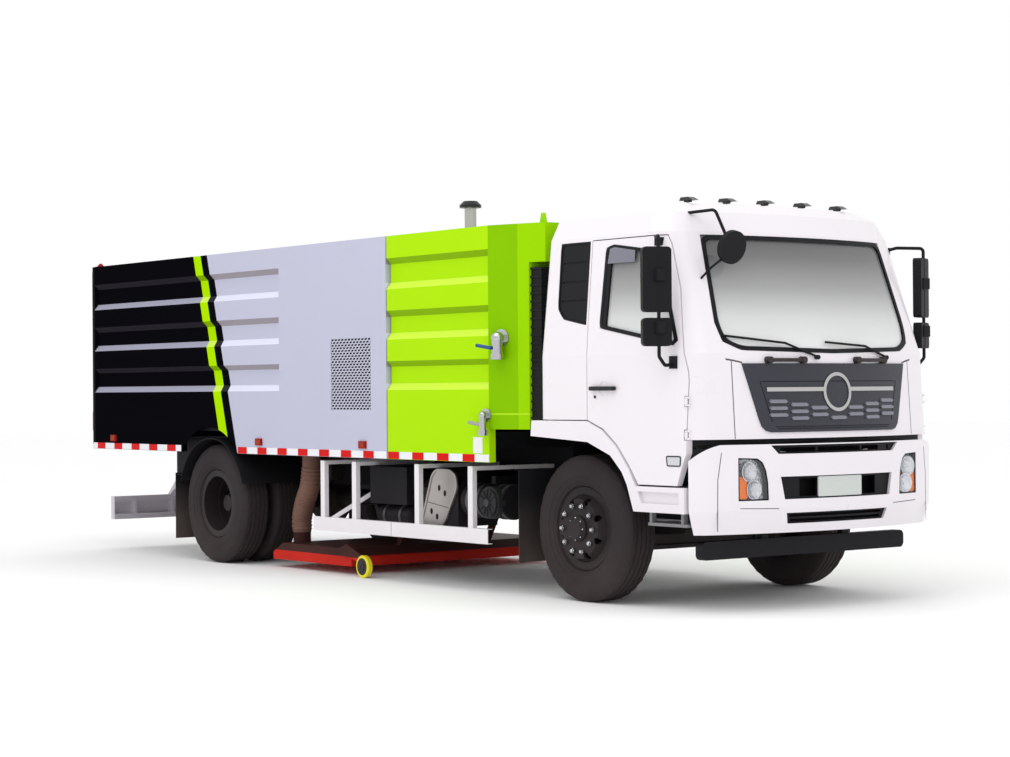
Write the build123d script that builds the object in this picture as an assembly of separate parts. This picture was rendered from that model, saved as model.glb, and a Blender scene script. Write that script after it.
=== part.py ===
"""Street sweeper truck: two-axle forward-control chassis with a tilting cab, a tipping debris
tank, a fixed engine and fan bay, and a wide suction nozzle between the axles.

Frame: +X forward, +Y to the truck's left, +Z up, the ground at Z = 0, millimetres.
The origin is on the ground, halfway along the overall length and on the centre plane.
Places along X that end in _AT are measured from the front axle, forward positive.
"""
from math import acos, asin, cos, degrees, radians, sin, sqrt, tan
import os

from build123d import *

# ---------------------------------------------------------------- driving dimensions
WHEELBASE = 5000.0
FRONT_OVERHANG = 1475.0
REAR_OVERHANG = 2355.0
BODY_WIDTH = 2500.0
BODY_TOP = 2737.0
BODY_BOTTOM = 979.0
CAB_WIDTH = 2370.0
TYRE_DIAMETER = 1050.0
TYRE_WIDTH = 278.0
FRONT_TRACK = 1962.0
REAR_TRACK = 1862.0
TWIN_SPACING = 320.0
RAIL_SPREAD = 860.0
RAIL_BOTTOM = 700.0
RAIL_HEIGHT = 250.0

LENGTH = FRONT_OVERHANG + WHEELBASE + REAR_OVERHANG
FRONT_AXLE_X = LENGTH / 2 - FRONT_OVERHANG
REAR_AXLE_X = FRONT_AXLE_X - WHEELBASE
AXLE_Z = TYRE_DIAMETER / 2
HALF_BODY = BODY_WIDTH / 2
HALF_CAB = CAB_WIDTH / 2
RAIL_TOP = RAIL_BOTTOM + RAIL_HEIGHT
RAIL_OUT = RAIL_SPREAD / 2

FIT = 0.3          # seat or running clearance between neighbours
RUN = 6.0          # clearance between pieces that move past each other


# ---------------------------------------------------------------- helpers
def at(from_front_axle):
    """X of a place measured from the front axle."""
    return FRONT_AXLE_X + from_front_axle


def block(x, y, z):
    """Box from three (low, high) pairs."""
    size = [high - low for low, high in (x, y, z)]
    centre = [(low + high) / 2 for low, high in (x, y, z)]
    return Pos(*centre) * Box(*size)


def side_prism(outline, y):
    """Closed (X, Z) outline extruded across the truck over the (low, high) pair y."""
    plane = Plane(origin=(0, y[1], 0), x_dir=(1, 0, 0), z_dir=(0, -1, 0))
    return extrude(plane * make_face(Polyline(*outline, close=True)), y[1] - y[0])


def front_prism(outline, x):
    """Closed (Y, Z) outline extruded along the truck over the (low, high) pair x."""
    plane = Plane(origin=(x[0], 0, 0), x_dir=(0, 1, 0), z_dir=(1, 0, 0))
    return extrude(plane * make_face(Polyline(*outline, close=True)), x[1] - x[0])


def plan_prism(outline, z):
    """Closed (X, Y) outline extruded upward over the (low, high) pair z."""
    return extrude(Pos(0, 0, z[0]) * make_face(Polyline(*outline, close=True)), z[1] - z[0])


def rod(start, end, radius):
    """Round bar between two points."""
    start, end = Vector(*start), Vector(*end)
    run = end - start
    plane = Plane(origin=start, z_dir=run)
    return extrude(plane * Circle(radius), run.length)


def across(x, z, y, radius):
    """Round bar across the truck over the (low, high) pair y."""
    return rod((x, y[0], z), (x, y[1], z), radius)


def pipe(points, bend, radius, bore=None):
    """Round tube along straight runs joined by arcs of radius bend."""
    path = FilletPolyline(*points, radius=bend)
    start = Plane(origin=path @ 0, z_dir=path % 0)
    section = Circle(radius) if bore is None else Circle(radius) - Circle(bore)
    return sweep(start * section, path)


def mirrored(shape):
    """The same shape on the truck's other side."""
    return mirror(shape, Plane.XZ)


def both(shape):
    return [shape, mirrored(shape)]


def solids_of(*shapes):
    found = []
    for shape in shapes:
        if isinstance(shape, (list, tuple, ShapeList)):
            found += solids_of(*shape)
        else:
            found += list(shape.solids())
    return found


def fuse(*shapes):
    """One shape from several that touch or overlap."""
    pieces = solids_of(*shapes)
    return pieces[0].fuse(*pieces[1:]).clean() if len(pieces) > 1 else pieces[0]


def save(node, *shapes):
    """Write one node as parts/NODE.step."""
    pieces = solids_of(*shapes)
    shape = pieces[0] if len(pieces) == 1 else Compound(pieces)
    export_step(shape, f"parts/{node}.step")


# ---------------------------------------------------------------- chassis frame
RAIL_WEB = 8.0
RAIL_FLANGE = 75.0
RAIL_FRONT_AT = 1150.0
RAIL_REAR_AT = -7120.0
CROSSMEMBER_DEPTH = 60.0
CROSSMEMBER_SHEET = 8.0
CROSSMEMBER_BOTTOM = RAIL_BOTTOM + 25.0
CROSSMEMBER_TOP = RAIL_TOP - 25.0
CROSSMEMBERS_AT = [1080.0, -1450.0, -2700.0, -3900.0, -5900.0, -7050.0]
RAIL_IN = RAIL_OUT - RAIL_WEB


def channel(y_web, y_flange, z, sheet, x):
    """Channel along X with its web at y_web and its flanges reaching y_flange."""
    step = sheet if y_flange > y_web else -sheet
    outline = [(y_web, z[0]), (y_flange, z[0]), (y_flange, z[0] + sheet), (y_web + step, z[0] + sheet),
               (y_web + step, z[1] - sheet), (y_flange, z[1] - sheet), (y_flange, z[1]), (y_web, z[1])]
    return front_prism(outline, x)


def frame_rails():
    rail = channel(-RAIL_OUT, -RAIL_OUT + RAIL_FLANGE, (RAIL_BOTTOM, RAIL_TOP), RAIL_WEB,
                   (at(RAIL_REAR_AT), at(RAIL_FRONT_AT)))
    return both(rail)


def crossmembers():
    beams = []
    for place in CROSSMEMBERS_AT:
        x, z = at(place), (CROSSMEMBER_BOTTOM, CROSSMEMBER_TOP)
        sheet, depth = CROSSMEMBER_SHEET, CROSSMEMBER_DEPTH
        outline = [(x, z[0]), (x + depth, z[0]), (x + depth, z[0] + sheet), (x + sheet, z[0] + sheet),
                   (x + sheet, z[1] - sheet), (x + depth, z[1] - sheet), (x + depth, z[1]), (x, z[1])]
        beams.append(side_prism(outline, (-RAIL_IN, RAIL_IN)))
    return beams


# ---------------------------------------------------------------- front axle and steering
KINGPIN_Y = 800.0
KINGPIN_RADIUS = 24.0
BEAM_DROP_Z = 400.0
BEAM_HEIGHT = 110.0
BEAM_WIDTH = 100.0
BEAM_WEB = 30.0
BEAM_FLANGE = 28.0
BEAM_BOSS_RADIUS = 46.0
BEAM_BOSS_HALF = 70.0
BEAM_STRAIGHT_Y = 540.0
BEAM_RISE_Y = 760.0
KNUCKLE_LUG = 34.0
KNUCKLE_RADIUS = 52.0
SPINDLE_RADIUS = 42.0
STEER_ARM_BACK = 230.0
STEER_ARM_IN = 0.0
STEER_ARM_Z = 392.0
STEER_ARM_THICK = 26.0
BALL_PIN_RADIUS = 11.0
BALL_CLEARANCE = 2.0
TIE_ROD_RADIUS = 18.0
TIE_EYE_RADIUS = 28.0
TIE_EYE_THICK = 34.0
TIE_ROD_Z = STEER_ARM_Z - STEER_ARM_THICK / 2 - TIE_EYE_THICK / 2 - BALL_CLEARANCE


def front_axle_beam():
    x = FRONT_AXLE_X
    low, high = BEAM_DROP_Z - BEAM_HEIGHT / 2, BEAM_DROP_Z + BEAM_HEIGHT / 2
    lift = AXLE_Z - BEAM_DROP_Z
    run = KINGPIN_Y
    outline = [(-BEAM_STRAIGHT_Y, low), (BEAM_STRAIGHT_Y, low), (BEAM_RISE_Y, low + lift), (run, low + lift),
               (run, high + lift), (BEAM_RISE_Y, high + lift), (BEAM_STRAIGHT_Y, high),
               (-BEAM_STRAIGHT_Y, high), (-BEAM_RISE_Y, high + lift), (-run, high + lift),
               (-run, low + lift), (-BEAM_RISE_Y, low + lift)]
    beam = front_prism(outline, (x - BEAM_WIDTH / 2, x + BEAM_WIDTH / 2))
    middle = (low + BEAM_FLANGE, high - BEAM_FLANGE)
    for side in (-1, 1):
        pocket = block((x + side * BEAM_WEB / 2, x + side * BEAM_WIDTH) if side > 0
                       else (x - BEAM_WIDTH, x - BEAM_WEB / 2), (-BEAM_STRAIGHT_Y, BEAM_STRAIGHT_Y), middle)
        beam = beam - pocket
    for side in (-1, 1):
        boss = rod((x, side * KINGPIN_Y, AXLE_Z - BEAM_BOSS_HALF),
                   (x, side * KINGPIN_Y, AXLE_Z + BEAM_BOSS_HALF), BEAM_BOSS_RADIUS)
        hole = rod((x, side * KINGPIN_Y, AXLE_Z - 2 * BEAM_BOSS_HALF),
                   (x, side * KINGPIN_Y, AXLE_Z + 2 * BEAM_BOSS_HALF), KINGPIN_RADIUS + FIT)
        beam = fuse(beam, boss) - hole
    return beam


def steering_knuckle():
    """Right knuckle: a fork round the beam's boss, its kingpin, spindle and steering arm."""
    x, y = FRONT_AXLE_X, -KINGPIN_Y
    gap = BEAM_BOSS_HALF + 1.0
    back = y - BEAM_BOSS_RADIUS - RUN
    lugs = []
    for side in (-1, 1):
        z = sorted((AXLE_Z + side * gap, AXLE_Z + side * (gap + KNUCKLE_LUG)))
        lug = rod((x, y, z[0]), (x, y, z[1]), KNUCKLE_RADIUS)
        link = block((x - KNUCKLE_RADIUS, x + KNUCKLE_RADIUS), (back - KNUCKLE_LUG, y), z)
        lugs.append(fuse(lug, link))
    plate = block((x - KNUCKLE_RADIUS, x + KNUCKLE_RADIUS), (back - KNUCKLE_LUG, back),
                  (AXLE_Z - gap - KNUCKLE_LUG, AXLE_Z + gap + KNUCKLE_LUG))
    kingpin = rod((x, y, AXLE_Z - gap - KNUCKLE_LUG), (x, y, AXLE_Z + gap + KNUCKLE_LUG), KINGPIN_RADIUS)
    spindle = across(x, AXLE_Z, (-FRONT_TRACK / 2 - FRONT_HUB_OUT + HUB_CAP, back), SPINDLE_RADIUS)
    arm_z = (STEER_ARM_Z - STEER_ARM_THICK / 2, STEER_ARM_Z + STEER_ARM_THICK / 2)
    arm = plan_prism([(x + 20, y - 20), (x - 20, y - 34), (x - STEER_ARM_BACK, y + STEER_ARM_IN - 24),
                      (x - STEER_ARM_BACK, y + STEER_ARM_IN + 24), (x + 20, y + 34)], arm_z)
    neck = rod((x, y, arm_z[0]), (x, y, AXLE_Z - gap), KINGPIN_RADIUS + 12)
    ball = rod((x - STEER_ARM_BACK, y + STEER_ARM_IN, TIE_ROD_Z - TIE_EYE_THICK / 2),
               (x - STEER_ARM_BACK, y + STEER_ARM_IN, arm_z[0]), BALL_PIN_RADIUS)
    return fuse(plate, *lugs, kingpin, spindle, arm, neck, ball)


def tie_rod():
    x, y = FRONT_AXLE_X - STEER_ARM_BACK, KINGPIN_Y - STEER_ARM_IN
    bar = across(x, TIE_ROD_Z, (-y, y), TIE_ROD_RADIUS)
    for side in (-1, 1):
        bottom = (x, side * y, TIE_ROD_Z - TIE_EYE_THICK / 2)
        top = (x, side * y, TIE_ROD_Z + TIE_EYE_THICK / 2)
        bar = fuse(bar, rod(bottom, top, TIE_EYE_RADIUS))
        hole = rod((x, side * y, TIE_ROD_Z - 40), (x, side * y, TIE_ROD_Z + 40),
                   BALL_PIN_RADIUS + (BALL_CLEARANCE if side > 0 else FIT))
        bar = bar - hole
    return bar


# ---------------------------------------------------------------- wheels
RIM_BEAD_RADIUS = 254.0
RIM_FLANGE_RADIUS = 296.0
RIM_HALF_WIDTH = 104.0
RIM_SHEET = 12.0
DISC_SHEET = 14.0
WHEEL_OFFSET = TWIN_SPACING / 2
TYRE_TREAD_HALF = 112.0
TYRE_WALL_RADIUS = 400.0
FRONT_HUB_OUT = 205.0
HUB_CAP = 22.0
HUB_RADIUS = 92.0
BOLT_CIRCLE = 335.0
NUT_COUNT = 10
HAND_HOLE_COUNT = 8
HAND_HOLE_RADIUS = 25.0
HAND_HOLE_CIRCLE = 205.0


def turned(profile, centre):
    """Revolve a closed (radius, outward) profile about the wheel's axis, the truck's right side."""
    plane = Plane(origin=centre, x_dir=(1, 0, 0), z_dir=(0, 0, 1))
    face = plane * make_face(Polyline(*[(radius, -out) for radius, out in profile], close=True))
    return revolve(face, Axis(centre, (0, 1, 0)))


def tyre(centre):
    half = TYRE_WIDTH / 2
    tread = TYRE_DIAMETER / 2
    bead, lip = RIM_BEAD_RADIUS + FIT, RIM_HALF_WIDTH - RIM_SHEET - FIT
    profile = [(bead, -lip), (RIM_FLANGE_RADIUS, -lip), (RIM_FLANGE_RADIUS + 12, -half + 22),
               (TYRE_WALL_RADIUS, -half), (tread - 62, -half + 4), (tread - 14, -TYRE_TREAD_HALF),
               (tread, -TYRE_TREAD_HALF + 34), (tread, TYRE_TREAD_HALF - 34), (tread - 14, TYRE_TREAD_HALF),
               (tread - 62, half - 4), (TYRE_WALL_RADIUS, half), (RIM_FLANGE_RADIUS + 12, half - 22),
               (RIM_FLANGE_RADIUS, lip), (bead, lip)]
    return turned(profile, centre)


def rim(centre, bulge):
    """Rim and disc; the disc's bolting face lies WHEEL_OFFSET outward for bulge 1, inward for -1."""
    edge, sheet = RIM_HALF_WIDTH, RIM_SHEET
    bead, flange = RIM_BEAD_RADIUS, RIM_FLANGE_RADIUS
    barrel = [(bead, -edge + sheet), (bead, edge - sheet), (flange, edge - sheet), (flange, edge),
              (bead - sheet, edge), (bead - sheet, -edge), (flange, -edge), (flange, -edge + sheet)]
    face = WHEEL_OFFSET
    disc = [(bead - sheet + 1, 40), (bead - sheet + 1, 96), (212, face), (SPINDLE_RADIUS + 20, face),
            (SPINDLE_RADIUS + 20, face - DISC_SHEET), (204, face - DISC_SHEET), (bead - 2 * sheet - 6, 84),
            (bead - 2 * sheet - 6, 40)]
    disc = [(radius, bulge * out) for radius, out in disc]
    wheel = fuse(turned(barrel, centre), turned(disc, centre))
    hole_out = bulge * face
    for index in range(HAND_HOLE_COUNT):
        turn = radians((index + 0.5) * 360 / HAND_HOLE_COUNT)
        x, z = centre[0] + HAND_HOLE_CIRCLE * cos(turn), centre[2] + HAND_HOLE_CIRCLE * sin(turn)
        outward = (-hole_out - 80, -hole_out + 80)
        wheel = wheel - across(x, z, (centre[1] + outward[0], centre[1] + outward[1]), HAND_HOLE_RADIUS)
    return wheel


def nuts(centre, out):
    """Ring of wheel nuts standing on the bolting face at the distance out from the wheel's centre."""
    ring = []
    for index in range(NUT_COUNT):
        turn = radians(index * 360 / NUT_COUNT)
        x = centre[0] + BOLT_CIRCLE / 2 * cos(turn)
        z = centre[2] + BOLT_CIRCLE / 2 * sin(turn)
        ring.append(across(x, z, (centre[1] - out - 30, centre[1] - out + 1), 17.0))
    return ring


def hub(centre, inner, outer):
    """Hub barrel round the spindle with a closed cap, from inner to outer along the axis."""
    bore = SPINDLE_RADIUS + FIT
    profile = [(bore, inner), (bore + 70, inner), (bore + 70, inner + 40), (HUB_RADIUS, inner + 60),
               (HUB_RADIUS, outer - 30), (HUB_RADIUS - 22, outer), (0, outer), (0, outer - HUB_CAP + FIT),
               (bore, outer - HUB_CAP + FIT)]
    return turned(profile, centre)


def front_wheel():
    centre = (FRONT_AXLE_X, -FRONT_TRACK / 2, AXLE_Z)
    wheel = fuse(rim(centre, 1), hub(centre, -28, FRONT_HUB_OUT), *nuts(centre, WHEEL_OFFSET))
    return wheel, tyre(centre)


def rear_wheels():
    outer = (REAR_AXLE_X, -REAR_TRACK / 2 - TWIN_SPACING / 2, AXLE_Z)
    inner = (REAR_AXLE_X, -REAR_TRACK / 2 + TWIN_SPACING / 2, AXLE_Z)
    bolting = (REAR_AXLE_X, -REAR_TRACK / 2, AXLE_Z)
    wheels = fuse(rim(outer, -1), rim(inner, 1), hub(bolting, -190, 165), *nuts(bolting, DISC_SHEET))
    return wheels, [tyre(outer), tyre(inner)]


# ---------------------------------------------------------------- rear axle and drive shaft
AXLE_TUBE_RADIUS = 72.0
BANJO_RADIUS = 215.0
BANJO_HALF = 150.0
DRUM_GAP = 12.0
GEARBOX_OUT_AT = -1180.0
GEARBOX_OUT_Z = 655.0
PINION_AT = -WHEELBASE + 430.0
SHAFT_RADIUS = 48.0


def rear_axle():
    x = REAR_AXLE_X
    wheel_inner = REAR_TRACK / 2 - 190
    tube = across(x, AXLE_Z, (-wheel_inner + DRUM_GAP, wheel_inner - DRUM_GAP), AXLE_TUBE_RADIUS)
    spindle_end = REAR_TRACK / 2 + 165 - HUB_CAP
    spindle = across(x, AXLE_Z, (-spindle_end, spindle_end), SPINDLE_RADIUS)
    banjo = extrude(Plane(origin=(x, -BANJO_HALF, AXLE_Z), z_dir=(0, 1, 0)) * Circle(BANJO_RADIUS), 2 * BANJO_HALF)
    banjo = chamfer(banjo.edges().filter_by(GeomType.CIRCLE), 70)
    nose = rod((x, 0, AXLE_Z), (at(PINION_AT), 0, AXLE_Z + 25), 80)
    shaft = rod((at(PINION_AT) - 20, 0, AXLE_Z + 25), (at(GEARBOX_OUT_AT) - 3, 0, GEARBOX_OUT_Z), SHAFT_RADIUS)
    return fuse(tube, spindle, banjo, nose, shaft)


# ---------------------------------------------------------------- leaf springs
SPRING_WIDTH = 88.0
LEAF = 22.0


def leaf_pack(x, y, seat, eye_z, half_span, leaves):
    """Leaf pack resting on the axle at seat; eyes at eye_z; each lower leaf is shorter."""
    thickness = leaves * LEAF
    rise = eye_z - seat - thickness
    bow = (half_span ** 2 + rise ** 2) / (2 * rise)
    centre_z = seat + thickness + bow
    reach = degrees(asin(half_span / bow))
    pack = []
    for leaf in range(leaves):
        share = 1 - leaf * 0.72 / leaves
        inner, outer = bow + leaf * LEAF, bow + (leaf + 1) * LEAF
        start, sweep_angle = 270 - reach * share, 2 * reach * share
        arcs = [CenterArc((x, centre_z), inner, start, sweep_angle), CenterArc((x, centre_z), outer, start, sweep_angle)]
        ends = [Line(arcs[0] @ 0, arcs[1] @ 0), Line(arcs[0] @ 1, arcs[1] @ 1)]
        face = make_face(arcs + ends)
        plane = Plane(origin=(0, y + SPRING_WIDTH / 2, 0), x_dir=(1, 0, 0), z_dir=(0, -1, 0))
        pack.append(extrude(plane * face, SPRING_WIDTH))
    for side in (-1, 1):
        pack.append(across(x + side * half_span, eye_z + 8, (y - SPRING_WIDTH / 2, y + SPRING_WIDTH / 2), 34))
    return pack


FRONT_SPRING_Y = RAIL_OUT - 40.0
FRONT_SPRING_HALF = 730.0
REAR_SPRING_Y = RAIL_OUT + 70.0
REAR_SPRING_HALF = 800.0
FRONT_SEAT = BEAM_DROP_Z + BEAM_HEIGHT / 2
REAR_SEAT = AXLE_Z + AXLE_TUBE_RADIUS + 8


def leaf_springs():
    y, eye = -FRONT_SPRING_Y, RAIL_BOTTOM - 60
    front = leaf_pack(FRONT_AXLE_X, y, FRONT_SEAT, eye, FRONT_SPRING_HALF, 4)
    for side in (-1, 1):
        x = FRONT_AXLE_X + side * FRONT_SPRING_HALF
        front.append(block((x - 40, x + 40), (y - 30, y + 30), (eye, RAIL_BOTTOM)))
    y, eye = -REAR_SPRING_Y, RAIL_BOTTOM + 60
    rear = leaf_pack(REAR_AXLE_X, y, REAR_SEAT, eye, REAR_SPRING_HALF, 5)
    rear.append(block((REAR_AXLE_X - 90, REAR_AXLE_X + 90), (y - 50, y + 50), (AXLE_Z + 60, REAR_SEAT + 1)))
    rear[-1] = rear[-1] - across(REAR_AXLE_X, AXLE_Z, (y - 60, y + 60), AXLE_TUBE_RADIUS + FIT)
    for side in (-1, 1):
        x = REAR_AXLE_X + side * REAR_SPRING_HALF
        rear.append(block((x - 60, x + 60), (y - 44, -RAIL_OUT), (eye - 10, eye + 110)))
    return both(fuse(*front)) + both(fuse(*rear))


# ---------------------------------------------------------------- engines
ENGINE_AT = (-650.0, 560.0)
ENGINE_HALF_WIDTH = 320.0
ENGINE_Z = (560.0, 1080.0)
MOUNT_Z = (760.0, 830.0)
FAN_ENGINE_AT = (-2080.0, -1120.0)
FAN_ENGINE_HALF_WIDTH = 340.0


def engines():
    engine = block((at(ENGINE_AT[0]), at(ENGINE_AT[1])), (-ENGINE_HALF_WIDTH, ENGINE_HALF_WIDTH), ENGINE_Z)
    gearbox = block((at(GEARBOX_OUT_AT), at(ENGINE_AT[0])), (-190, 190), (GEARBOX_OUT_Z - 80, 900))
    mounts = [block((at(place) - 50, at(place) + 50), (-RAIL_IN, RAIL_IN), MOUNT_Z) for place in (-450, 400)]
    fan_engine = block((at(FAN_ENGINE_AT[0]), at(FAN_ENGINE_AT[1])),
                       (-FAN_ENGINE_HALF_WIDTH, FAN_ENGINE_HALF_WIDTH), (FLOOR_TOP, FLOOR_TOP + 760))
    return [fuse(engine, gearbox, *mounts), fan_engine]


# ---------------------------------------------------------------- body: fixed sub-frame and bay
SUBFRAME_Y = (355.0, 430.0)
SUBFRAME_Z = (RAIL_TOP, RAIL_TOP + 110.0)
TIP_PIVOT_AT = -7180.0
TIP_PIVOT_Z = RAIL_TOP + 60.0
TIP_PIN_RADIUS = 22.0
SUBFRAME_REAR_AT = TIP_PIVOT_AT
BEARER_BOTTOM = SUBFRAME_Z[1] + RUN
FLOOR_BOTTOM = 1170.0
FLOOR_TOP = 1205.0
WALL = 60.0
GROOVE_DEPTH = 40.0
#              lower flank bottom, lower flank top, upper flank bottom, upper flank top
GROOVES_DOWN = [(1217.0, 1163.0, 1031.0, 987.0),
                (819.0, 765.0, 638.0, 589.0),
                (421.0, 368.0, 223.0, 175.0)]
BAY_REAR_AT = -2235.0
BAY_FRONT_AT = -907.0
TANK_FRONT_AT = -2251.0
TANK_REAR_AT = -7250.0
TANK_FLAT_AT = -3858.0
REAR_FRAME_AT = -7290.0
ROOF_SHEET = 40.0
BAY_SHEET = 30.0
HOPPER_FRONT_AT = -560.0
HOPPER_HALF = 1137.0
HEADER_FRONT_AT = -420.0
HEADER_BOTTOM = 2450.0
HOPPER_BOTTOM = 1225.0


def grooved_wall(x, bottom):
    """Right side wall, flat inside, with three grooves outside that run its whole length."""
    outline = [(-HALF_BODY + WALL, bottom), (-HALF_BODY, bottom)]
    for low, low_in, high_in, high in GROOVES_DOWN:
        outline += [(-HALF_BODY, BODY_TOP - low), (-HALF_BODY + GROOVE_DEPTH, BODY_TOP - low_in),
                    (-HALF_BODY + GROOVE_DEPTH, BODY_TOP - high_in), (-HALF_BODY, BODY_TOP - high)]
    outline += [(-HALF_BODY, BODY_TOP), (-HALF_BODY + WALL, BODY_TOP)]
    return front_prism(outline, x)


def bay_sides():
    wall = grooved_wall((at(BAY_REAR_AT), at(BAY_FRONT_AT)), BODY_BOTTOM)
    return both(wall)


def bay_floor():
    """Sub-frame bearers on the rails, the bay's floor on top, and its outriggers."""
    bearers = [block((at(SUBFRAME_REAR_AT), at(BAY_FRONT_AT) - 20), y, SUBFRAME_Z)
               for y in (SUBFRAME_Y, (-SUBFRAME_Y[1], -SUBFRAME_Y[0]))]
    ends = []
    for y in (SUBFRAME_Y, (-SUBFRAME_Y[1], -SUBFRAME_Y[0])):
        ends.append(across(at(TIP_PIVOT_AT), TIP_PIVOT_Z, y, SUBFRAME_Z[1] - TIP_PIVOT_Z))
    pins = [across(at(TIP_PIVOT_AT), TIP_PIVOT_Z, (y0, y1), TIP_PIN_RADIUS)
            for y0, y1 in ((SUBFRAME_Y[0], SUBFRAME_Y[1] + 60), (-SUBFRAME_Y[1] - 60, -SUBFRAME_Y[0]))]
    risers = [block((at(BAY_REAR_AT) + 40, at(BAY_FRONT_AT) - 20), y, (SUBFRAME_Z[1], FLOOR_BOTTOM))
              for y in (SUBFRAME_Y, (-SUBFRAME_Y[1], -SUBFRAME_Y[0]))]
    inner = HALF_BODY - WALL
    floor = block((at(BAY_REAR_AT) + 10, at(BAY_FRONT_AT)), (-inner, inner), (FLOOR_BOTTOM, FLOOR_TOP))
    outriggers = [block((at(place) - 30, at(place) + 30), (-inner, inner), (SUBFRAME_Z[1] + 20, FLOOR_BOTTOM))
                  for place in (-2160, -1570, -980)]
    return fuse(*bearers, *ends, *pins, *risers, floor, *outriggers)


def bay_cover():
    """Roof of the fixed bay and the hopper that tapers forward of it, one hollow shell."""
    x_back, x_front = at(BAY_FRONT_AT), at(HOPPER_FRONT_AT)
    inner = HALF_BODY - WALL
    roof = block((at(BAY_REAR_AT), x_back), (-inner, inner), (BODY_TOP - BAY_SHEET, BODY_TOP))
    outline = [(x_back, -HALF_BODY), (x_front, -HOPPER_HALF), (x_front, HOPPER_HALF), (x_back, HALF_BODY)]
    outer = plan_prism(outline, (HOPPER_BOTTOM, BODY_TOP))
    sheet = BAY_SHEET
    hollow = [(x_back + sheet, -HALF_BODY + 2 * sheet), (x_front - sheet, -HOPPER_HALF + sheet),
              (x_front - sheet, HOPPER_HALF - sheet), (x_back + sheet, HALF_BODY - 2 * sheet)]
    cavity = plan_prism(hollow, (HOPPER_BOTTOM + sheet, BODY_TOP - sheet))
    doorway = block((x_back - 1, x_back + sheet + 1), (-inner + 60, inner - 60),
                    (HOPPER_BOTTOM + sheet, BODY_TOP - sheet))
    hopper = outer - cavity - doorway
    taper = (HALF_BODY - HOPPER_HALF) / (HOPPER_FRONT_AT - BAY_FRONT_AT)
    header_half = HOPPER_HALF - taper * (HEADER_FRONT_AT - HOPPER_FRONT_AT)
    header = plan_prism([(x_front, -HOPPER_HALF), (at(HEADER_FRONT_AT), -header_half), (at(HEADER_FRONT_AT), header_half),
                         (x_front, HOPPER_HALF)], (HEADER_BOTTOM, BODY_TOP))
    eye_x = at(HEADER_FRONT_AT)
    eye = side_prism([(eye_x - 80, BODY_TOP), (eye_x - 10, BODY_TOP), (eye_x - 28, BODY_TOP + 70),
                      (eye_x - 62, BODY_TOP + 70)], (-header_half + 12, -header_half + 28))
    return fuse(hopper, header, roof, eye)


# ---------------------------------------------------------------- body: tipping tank
ARCH_AT = (-5555.0, -4550.0)
ARCH_TOP = 1205.0
ARCH_CORNER = 120.0
PERFORATED_AT = (-3055.0, -2472.0)
PERFORATED_Z = (1363.0, 1943.0)
DOOR_GAP = 7.0
TAIL_DOOR_THICK = 48.0
TAIL_PIVOT_BACK = 40.0
TAIL_PIVOT_Z = BODY_TOP - 22.0
TAIL_PIN_RADIUS = 11.0
TAIL_HINGE_Y = [-820.0, 820.0]


def tank_sides():
    x = (at(TANK_REAR_AT), at(TANK_FRONT_AT))
    flat = block((at(TANK_FLAT_AT), x[1]), (-HALF_BODY, -HALF_BODY + WALL), (BODY_BOTTOM, BODY_TOP))
    wall = fuse(grooved_wall((x[0], at(TANK_FLAT_AT)), BODY_BOTTOM), flat)
    arch = side_prism([(at(ARCH_AT[0]), BODY_BOTTOM - 1), (at(ARCH_AT[1]), BODY_BOTTOM - 1),
                       (at(ARCH_AT[1]), ARCH_TOP - ARCH_CORNER), (at(ARCH_AT[1]) - ARCH_CORNER, ARCH_TOP),
                       (at(ARCH_AT[0]) + ARCH_CORNER, ARCH_TOP), (at(ARCH_AT[0]), ARCH_TOP - ARCH_CORNER)],
                      (-HALF_BODY - 1, -HALF_BODY + WALL + 1))
    panel = block((at(PERFORATED_AT[0]), at(PERFORATED_AT[1])), (-HALF_BODY - 1, -HALF_BODY + 12), PERFORATED_Z)
    return both(wall - arch - panel)


def tank_floor():
    """Floor, its long bearers over the sub-frame, cross bearers and the tipping lugs."""
    x = (at(TANK_REAR_AT), at(TANK_FRONT_AT))
    inner = HALF_BODY - WALL
    floor = block(x, (-inner, inner), (FLOOR_BOTTOM, FLOOR_TOP))
    pieces = [floor]
    for side in (-1, 1):
        y = sorted((side * SUBFRAME_Y[0], side * SUBFRAME_Y[1]))
        pieces.append(block((x[0], x[1] - 20), y, (BEARER_BOTTOM, FLOOR_BOTTOM)))
        lug_y = sorted((side * (SUBFRAME_Y[1] + RUN), side * (SUBFRAME_Y[1] + RUN + 30)))
        lug = side_prism([(at(TIP_PIVOT_AT) - 55, TIP_PIVOT_Z - 40), (at(TIP_PIVOT_AT) + 55, TIP_PIVOT_Z - 40),
                          (at(TIP_PIVOT_AT) + 110, FLOOR_BOTTOM), (at(TIP_PIVOT_AT) - 60, FLOOR_BOTTOM)], lug_y)
        hole = across(at(TIP_PIVOT_AT), TIP_PIVOT_Z, (lug_y[0] - 1, lug_y[1] + 1), TIP_PIN_RADIUS + FIT)
        pieces.append(lug - hole)
    for place in (-6900, -6200, -5650, -4420, -3500, -2330):
        pieces.append(block((at(place) - 30, at(place) + 30), (-inner, inner), (FLOOR_BOTTOM - 60, FLOOR_BOTTOM)))
    return fuse(*pieces)


def tank_roof():
    inner = HALF_BODY - WALL
    return block((at(TANK_REAR_AT), at(TANK_FRONT_AT)), (-inner, inner), (BODY_TOP - ROOF_SHEET, BODY_TOP))


def tank_bulkhead():
    inner = HALF_BODY - WALL
    return block((at(TANK_FRONT_AT) - 40, at(TANK_FRONT_AT)), (-inner, inner), (FLOOR_TOP, BODY_TOP - ROOF_SHEET - FIT))


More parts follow.
